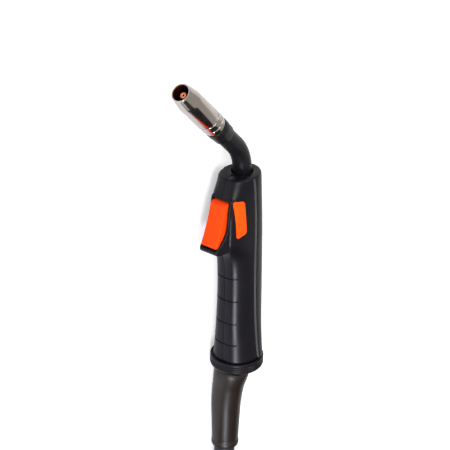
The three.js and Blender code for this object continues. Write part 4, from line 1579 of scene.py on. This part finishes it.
# ---- the tie round the coil ----
@dataclass
class CoilTie:
    """The hook-and-loop strap that hugs the coil's five turns, its end lapped over the top. Sizes in mm, in
    the tie's own frame: X round the coil, Y out from its middle."""

    cable: CableRun = field(default_factory=CableRun)
    turn: float = math.radians(200)
    clear: float = 8.3
    thick: float = 1.2
    lap: float = 1.1
    half_width: float = 12.0

    def _outline(self, x: float, reach: Callable[[float], float], count: int = 120) -> list[Vector]:
        """The taut outline round the turns.

        Args:
            x: its place across the strap.
            reach: the distance from the turns' middles at each angle.
            count: its points.

        Returns:
            The points.
        """
        points = []
        for k in range(count):
            a = 2 * math.pi * k / count
            out = Vector((math.cos(a), math.sin(a)))
            middle = max((Vector(c) for c in self.cable.stages()), key=lambda c: c.dot(out))
            point = middle + out * reach(a)
            points.append(Vector((x, point.x, point.y)))
        return points

    def build(self, finishes: Finishes) -> bpy.types.Object:
        """Makes the strap.

        Args:
            finishes: the torch's finishes.

        Returns:
            The strap.
        """
        outside = self.clear + self.thick

        def outer(a: float) -> float:
            """The strap's outside, with its lapped end over the top.

            Args:
                a: the angle round the turns.

            Returns:
                The distance from the turns' middles.
            """
            lapped = math.radians(52) < a < math.radians(118)
            return outside + (self.lap if lapped else 0)

        half = self.half_width
        rings = [
            self._outline(-half, outer), self._outline(half, outer),
            self._outline(half, lambda a: self.clear), self._outline(-half, lambda a: self.clear),
            self._outline(-half, outer),
        ]
        strap = skin("hook_and_loop_strap", rings, closed_ends=False)
        soften(strap, 0.35, 2, 60)
        smooth(strap, 40)
        middle = Vector((*self.cable.coil_middle, 0)) * MM
        place(strap, BENCH @ Matrix.Translation(middle) @ Matrix.Rotation(self.turn, 4, "Z"))
        return dress(strap, finishes.strap, Body.CABLE_SIDE, ["coil_tie"])


# ---- the central plug ----
@dataclass
class Plug:
    """The machine plug: ribbed strain relief, two-part housing, fluted nut, flange, gas spigot and sprung
    contact pins. Sizes in mm, along +X from the cable to the mating end."""

    at: Triple = (342.0, -34.0, 23.5)
    turn: float = math.radians(-90)
    bore: float = 8.4
    housing_start: float = 46.3
    housing_end: float = 104.3
    housing_radius: float = 18.0
    nut_start: float = 87.2
    nut_length: float = 38.0
    nut_radius: float = 23.5
    flutes: int = 16
    flute_radius: float = 1.6
    flute_out: float = 0.8
    flange_start: float = 102.3
    flange_end: float = 109.3
    spigot_end: float = 131.3
    pin_offset: float = 11.5

    @property
    def frame(self) -> Matrix:
        """The plug's own frame in the part's frame."""
        return BENCH @ Matrix.Translation(Vector(self.at) * MM) @ Matrix.Rotation(self.turn, 4, "Z")

    def _relief(self, finishes: Finishes) -> None:
        """The tapered strain relief with its ribs.

        Args:
            finishes: the torch's finishes.
        """
        profile: list[Pair] = [(0, self.bore), (0, 9.5), (0.35, 9.95), (1.4, 10.2), (4, 10.3)]
        for k in range(6):
            x = 6 + 5 * k
            base = 10.3 + 1.3 * x / 38
            profile += [(x, base), (x + 0.35, base - 0.8), (x + 2.1, base - 0.8), (x + 2.45, base + 0.05)]
        profile += [(38, 11.6), (55, 11.6), (55, self.bore)]
        relief = turned("strain_relief", profile, 80)
        soften(relief, 0.2, 2, 35)
        smooth(relief, 35)
        place(relief, self.frame)
        dress(relief, finishes.rubber, Body.CABLE_SIDE, ["plug_sleeve"])

    def _housing(self, finishes: Finishes) -> None:
        """Both halves of the housing, with finger grooves and screw wells.

        Args:
            finishes: the torch's finishes.
        """
        start, end, radius = self.housing_start, self.housing_end, self.housing_radius
        profile: list[Pair] = [(start, 11.9), (start, 14.8), (start + 0.3, 15.6), (start + 1, 16.2)]
        profile += [(start + 3, 17.3), (start + 4.6, 17.8), (start + 6.4, radius)]
        for x in (start + 12, start + 18):
            profile += [(x, radius), (x + 0.3, radius - 0.7), (x + 0.6, radius - 0.8)]
            profile += [(x + 2.0, radius - 0.8), (x + 2.3, radius - 0.7), (x + 2.6, radius)]
        profile += [(end - 0.4, radius), (end, radius - 0.4), (end, 15.6)]
        profile += [(start + 11.4, 15.6), (start + 11.4, 11.9)]
        body = turned("housing", profile, 112)
        x = self.nut_start - 4.4
        for y in (14.1, -14.1):
            boss = cross_rod("tool", x, y, -12, 12, 2.6)
            cut(boss, rod("tool", 50, 104, radius - 0.6, 96), "INTERSECT")
            cut(body, boss, "UNION")
            cut(body, cross_rod("tool", x, y, -8, 7, 1.5, 24))
            cut(body, cross_rod("tool", x, y, 5.6, 20, 2.5, 32))
        for name, low, high in (("upper", 0.15, 30.0), ("lower", -30.0, -0.15)):
            half = copy_of(body, f"housing_{name}")
            cut(half, box_tool(0, 200, -30, 30, low, high), "INTERSECT")
            soften(half, 0.2, 2, 45)
            smooth(half, 35)
            place(half, self.frame)
            dress(half, finishes.shell, Body.CABLE_SIDE, [f"plug_housing_{name}"])
        bpy.data.objects.remove(body)

    def _nut(self, finishes: Finishes) -> None:
        """The fluted nut.

        Args:
            finishes: the torch's finishes.
        """
        count = 256

        def ring(x: float, radius: float, depth: float = 0.0) -> list[Vector]:
            """A ring of the nut, notched by its flutes.

            Args:
                x: its place along the nut.
                radius: its radius between the flutes.
                depth: the share of the flutes' full depth that they have here.

            Returns:
                The points.
            """
            points = []
            for k in range(count):
                a = 2 * math.pi * k / count
                pitch = 2 * math.pi / self.flutes
                off = abs((a + pitch / 2) % pitch - pitch / 2)
                # A flute is an arc of flute_radius whose middle lies flute_out beyond the nut's side.
                across = (self.nut_radius + self.flute_out) * math.sin(off)
                rise = math.sqrt(max(self.flute_radius**2 - across**2, 0))
                floor = (self.nut_radius + self.flute_out) * math.cos(off) - rise
                cut_in = max(radius - floor, 0) * depth if across < self.flute_radius else 0
                points.append(Vector((x, (radius - cut_in) * math.cos(a), (radius - cut_in) * math.sin(a))))
            return points

        length, radius, inner = self.nut_length, self.nut_radius, self.housing_radius + 0.35
        outside = [(0, 20.2, 0), (0.3, 21.0, 0), (1.0, 22.2, 0), (1.9, 23.2, 0), (2.8, radius, 0)]
        outside += [(4.2, radius, 0), (4.8, radius, 0.5), (5.6, radius, 0.9), (6.6, radius, 1)]
        outside += [(length - 1.6, radius, 1), (length - 0.9, radius - 0.2, 1)]
        outside += [(length - 0.3, radius - 0.8, 0.6), (length, radius - 1.5, 0)]
        inside = [(length, inner + 1.6), (19, inner + 1.6), (20.1, inner), (0, inner)]
        rings = [ring(*place_on) for place_on in outside] + [ring(*place_on) for place_on in inside]
        nut = skin("fluted_nut", [*rings, rings[0]], closed_ends=False)
        smooth(nut, 38)
        place(nut, self.frame @ Matrix.Translation((self.nut_start * MM, 0, 0)))
        dress(nut, finishes.shell, Body.NUT, ["plug_nut"])

    def _flange(self, finishes: Finishes) -> None:
        """The insulating flange that carries the pins and the spigot.

        Args:
            finishes: the torch's finishes.
        """
        start, end = self.flange_start, self.flange_end
        flange = turned("plug_face", [
            (start, 6.3), (start, 14.7), (start + 2.3, 14.7), (start + 2.3, 17.2), (start + 2.5, 17.4),
            (end - 0.5, 17.4), (end - 0.15, 17.25), (end, 16.9), (end, 7.2), (end - 0.5, 6.7),
            (end - 0.5, 6.3),
        ], 96)
        for y in (self.pin_offset, -self.pin_offset):
            hole = place(rod("tool", start - 1, end + 1, 2.35, 32), Matrix.Translation((0, y * MM, 0)))
            cut(flange, hole)
        smooth(flange, 35)
        place(flange, self.frame)
        dress(flange, finishes.deep, Body.CABLE_SIDE, ["plug_flange"])

    def _spigot(self, finishes: Finishes) -> None:
        """The brass gas spigot, its O-ring and the liner's nut.

        Args:
            finishes: the torch's finishes.
        """
        end = self.spigot_end
        spigot = turned("gas_spigot", [
            (84.3, 2.5), (84.3, 7.7), (84.6, 8), (102, 8), (102, 6), (end - 7.2, 6), (end - 7, 5.8),
            (end - 7, 4.8), (end - 4.4, 4.8), (end - 4.4, 5.8), (end - 4.2, 6), (end - 1.6, 6),
            (end - 0.4, 5.5), (end, 5.0), (end, 2.9), (end - 0.4, 2.5),
        ], 80)
        smooth(spigot, 30)
        place(spigot, self.frame)
        dress(spigot, finishes.brass, Body.CABLE_SIDE, ["plug_spigot"])
        circle = [2 * math.pi * k / 20 for k in range(20)]
        section = [(end - 5.7 + 0.8 * math.cos(a), 5.95 + 0.8 * math.sin(a)) for a in circle]
        seal = turned("spigot_seal", section, 80)
        smooth(seal, 60)
        place(seal, self.frame)
        dress(seal, finishes.rubber, Body.CABLE_SIDE, ["spigot_o_ring"])
        low, high = end + 0.3, end + 6.3
        nut = turned("liner_hex_nut", [(low, 0), (low, 5), (high, 5), (high, 0)], 6)
        chamfer = turned("tool", [
            (low, 0), (low, 4.35), (low + 0.5, 5.1), (high - 0.5, 5.1), (high, 4.35), (high, 0),
        ], 64)
        cut(nut, chamfer, "INTERSECT")
        cut(nut, rod("tool", low - 1, high + 1, 2.5, 40))
        smooth(nut, 28)
        place(nut, self.frame)
        dress(nut, finishes.brass, Body.CABLE_SIDE, ["liner_nut"])

    def _pins(self, finishes: Finishes) -> None:
        """The two sprung contact pins, one made and one copied.

        Args:
            finishes: the torch's finishes.
        """
        low, high = self.flange_end - 8, self.flange_end + 8
        first = turned("pin", [
            (low, 0), (low, 1.7), (low + 0.3, 2), (high - 1.6, 2), (high - 0.9, 1.8), (high - 0.3, 1.3),
            (high, 0.7), (high, 0),
        ], 40)
        smooth(first, 40)
        for name, y, body in (("1", self.pin_offset, Body.PIN_1), ("2", -self.pin_offset, Body.PIN_2)):
            pin = copy_of(first, f"control_pin_{name}", self.frame @ Matrix.Translation((0, y * MM, 0)))
            dress(pin, finishes.brass, body, [f"contact_pin_{name}"])
        bpy.data.objects.remove(first)

    def build(self, finishes: Finishes) -> None:
        """Makes the whole plug.

        Args:
            finishes: the torch's finishes.
        """
        self._relief(finishes)
        self._housing(finishes)
        self._nut(finishes)
        self._flange(finishes)
        self._spigot(finishes)
        self._pins(finishes)


def dress_inner_parts(frame: dict, finishes: Finishes) -> None:
    """Finishes the CAD nodes that stay: what sits inside the handle, the neck and the plug.

    Args:
        finishes: the torch's finishes.
    """
    for material, nodes in (
        (finishes.brass, ("neck_socket", "cable_nut", "crimp_ferrule", "tip_holder")),
        (finishes.copper, ("neck_core",)),
        (finishes.steel, ("liner", "nozzle_spring", "trigger_pin")),
        (finishes.deep, ("switch_body",)),
        (finishes.red, ("switch_button", "switch_lead_a", "switch_lead_b")),
        (finishes.cable, ("cable_stub", "cable_lead", "plug_lead")),
    ):
        for node in nodes:
            dress_node(frame, node, material)


# ---- the bench, the light and the camera ----
@dataclass
class Studio:
    """A white bench and backdrop, soft lamps, and the camera. Metres, in the part's frame."""

    distance: float = 1.501
    lens_mm: float = 163.8
    sensor_mm: float = 36.0
    # Where the handle's middle stands in the picture, as shares of its half width and half height.
    aim: Pair = (0.0677778, -0.0404)
    floor_lift: float = 0.5
    far_lift: float = 0.8
    far_from: float = 0.7
    far_to: float = 1.8
    mirror_lift: float = 0.1
    fill: float = 0.45
    ceiling: float = 0.47

    def camera(self) -> None:
        """Makes the camera at the viewing angle and distance."""
        to_camera = (TORCH.to_3x3() @ Vector((0.462, 0.705, 0.537))).normalized()
        up = (TORCH.to_3x3() @ Vector((0.886, -0.352, -0.300))).normalized()
        right = up.cross(to_camera).normalized()
        up = to_camera.cross(right).normalized()
        data = bpy.data.cameras.new("camera")
        data.lens = self.lens_mm
        data.sensor_width = self.sensor_mm
        data.clip_end = 20
        half = 0.5 * self.sensor_mm / self.lens_mm
        middle = TORCH @ Vector((0.1, 0, 0))
        # The aim leaves the middle of the handle a little right of and below the picture's centre.
        shift = Vector(self.aim) * half * self.distance
        place_at = middle + to_camera * self.distance - right * shift.x - up * shift.y
        obj = bpy.data.objects.new("camera", data)
        bpy.context.scene.collection.objects.link(obj)
        turn = Matrix((right, up, to_camera)).transposed().to_4x4()
        obj.matrix_world = Matrix.Translation(place_at) @ turn
        bpy.context.scene.camera = obj

    def _white(self, name: str, colour: str) -> bpy.types.Material:
        """A matt white that the camera sees as pure white, with a faint shadow under the piece.

        Args:
            name: the material's name.
            colour: its colour.

        Returns:
            The material.
        """
        tree = Tree(name)
        tree.set(Base_Color=linear(colour), Roughness=0.9, Specular_IOR_Level=0.1)
        tree.set(Emission_Color=linear("#FFFFFF"))
        ray = tree.add("ShaderNodeLightPath")
        mirrored = tree.add(
            "ShaderNodeMath", {"0": ray.outputs["Is Glossy Ray"], "1": ray.outputs["Is Transmission Ray"]},
            operation="MAXIMUM",
        )
        # Away from the lamps the bench would turn grey, so more is added there.
        reach = tree.add("ShaderNodeVectorMath", {"0": tree.place}, operation="LENGTH")
        added = tree.add(
            "ShaderNodeMapRange",
            {"Value": reach.outputs["Value"], "From Min": self.far_from, "From Max": self.far_to,
             "To Min": self.floor_lift, "To Max": self.far_lift},
        )
        in_mirrors = tree.add(
            "ShaderNodeMath", {"0": mirrored.outputs[0], "1": self.mirror_lift}, operation="MULTIPLY"
        )
        seen = {"0": ray.outputs["Is Camera Ray"], "1": added.outputs["Result"], "2": in_mirrors.outputs[0]}
        lift = tree.add("ShaderNodeMath", seen, operation="MULTIPLY_ADD")
        tree.feed("Emission Strength", lift.outputs[0])
        return tree.material

    def surroundings(self) -> None:
        """Makes the bench and the world around it."""
        clear_selection()
        bpy.ops.mesh.primitive_plane_add(size=6, location=(0, 0, -0.0002))
        floor = made("bench_top")
        floor.data.materials.append(self._white("Pale_bench", "#D8D8D8"))
        world = bpy.data.worlds.new("room")
        bpy.context.scene.world = world
        world.use_nodes = True
        tree = world.node_tree
        white = {"Color": (1, 1, 1, 1)}

        # A white room up to eye height with a dark ceiling, as mirrors see it; the camera sees white alone.
        ray = add_node(tree, "ShaderNodeLightPath").outputs
        direction = add_node(tree, "ShaderNodeTexCoord").outputs["Generated"]
        height = add_node(tree, "ShaderNodeSeparateXYZ", {"0": direction}).outputs["Z"]
        ceiling = add_node(
            tree, "ShaderNodeMapRange",
            {"Value": height, "From Min": 0.16, "From Max": 0.42, "To Min": 1.0, "To Max": self.ceiling},
            interpolation_type="SMOOTHSTEP",
        )
        mirrored = add_node(
            tree, "ShaderNodeMath", {"0": ray["Is Glossy Ray"], "1": ray["Is Transmission Ray"]},
            operation="MAXIMUM",
        )
        lit = add_node(tree, "ShaderNodeBackground", {**white, "Strength": self.fill})
        room = add_node(
            tree, "ShaderNodeBackground", {"Color": (1, 0.95, 0.89, 1), "Strength": ceiling.outputs["Result"]}
        )
        seen = add_node(tree, "ShaderNodeBackground", {**white, "Strength": 1.0})
        for_mirrors = add_node(
            tree, "ShaderNodeMixShader", {"0": mirrored.outputs[0], "1": lit.outputs[0], "2": room.outputs[0]}
        )
        for_camera = add_node(
            tree, "ShaderNodeMixShader",
            {"0": ray["Is Camera Ray"], "1": for_mirrors.outputs[0], "2": seen.outputs[0]},
        )
        tree.links.new(for_camera.outputs[0], tree.nodes["World Output"].inputs["Surface"])

    def lamp(
        self, name: str, at: Triple, towards: Triple, size: Pair, watts: float, colour: Triple = (1, 1, 1)
    ) -> None:
        """Adds a soft box.

        Args:
            name: its name.
            at: its place in metres.
            towards: the point it faces.
            size: its width and height in metres.
            watts: its power.
            colour: its colour.
        """
        data = bpy.data.lights.new(name, "AREA")
        data.shape = "RECTANGLE"
        data.size, data.size_y = size
        data.energy = watts
        data.color = colour
        obj = bpy.data.objects.new(name, data)
        obj.location = at
        obj.rotation_euler = (Vector(towards) - Vector(at)).to_track_quat("-Z", "Y").to_euler()
        bpy.context.scene.collection.objects.link(obj)

    def flag(self, name: str, at: Triple, towards: Triple, size: Pair, colour: str = "#08080A") -> None:
        """Adds a dark card that only mirrors see, for the dark strip along polished metal.

        Args:
            name: its name.
            at: its place in metres.
            towards: the point it faces.
            size: its width and height in metres.
            colour: its colour.
        """
        clear_selection()
        bpy.ops.mesh.primitive_plane_add(size=1, location=at)
        card = made(name)
        card.scale = (size[0], size[1], 1)
        card.rotation_euler = (Vector(towards) - Vector(at)).to_track_quat("Z", "Y").to_euler()
        tree = Tree(name + "_card")
        tree.set(Base_Color=linear(colour), Roughness=1.0, Specular_IOR_Level=0.0)
        card.data.materials.append(tree.material)
        card.visible_camera = card.visible_diffuse = card.visible_shadow = card.visible_transmission = False

    def build(self) -> None:
        """Sets up the whole studio."""
        bpy.context.scene.view_settings.view_transform = "Standard"
        self.camera()
        self.surroundings()
        self.lamp("key", (-0.5, -0.9, 1.3), (0, 0, 0.02), (0.7, 0.7), 13)
        self.lamp("strip", (0.55, -0.85, 0.66), (0, 0, 0.02), (0.5, 0.2), 15, (0.88, 0.9, 1.0))
        self.lamp("rear", (-0.9, 0.4, 1.2), (0, 0, 0.02), (0.6, 0.6), 6)
        self.flag("nozzle_flag", (0.59, 0.14, 0.34), (-0.12, -0.02, 0.02), (0.6, 0.62), "#2F2C2E")
        self.flag("grip_flag", (0.42, -0.8, 0.22), (0, 0, 0.02), (0.8, 0.36))


def main() -> None:
    """Builds the torch in order."""
    logging.basicConfig(level=logging.INFO, format="%(name)s: %(message)s")
    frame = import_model()
    clear_selection()
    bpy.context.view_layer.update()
    finishes = Finishes()
    Studio().build()
    cable = CableRun()
    cable.build(finishes)
    handle = Handle()
    handle.build(finishes)
    handle.build_badge(finishes)
    Trigger().build(finishes)
    BallJoint().build(finishes)
    Neck().build(finishes)
    CoilTie(cable).build(finishes)
    plug = Plug()
    plug.build(finishes)
    Screws().build(finishes, plug.frame)
    dress_inner_parts(frame, finishes)


if __name__ == "__main__":
    main()
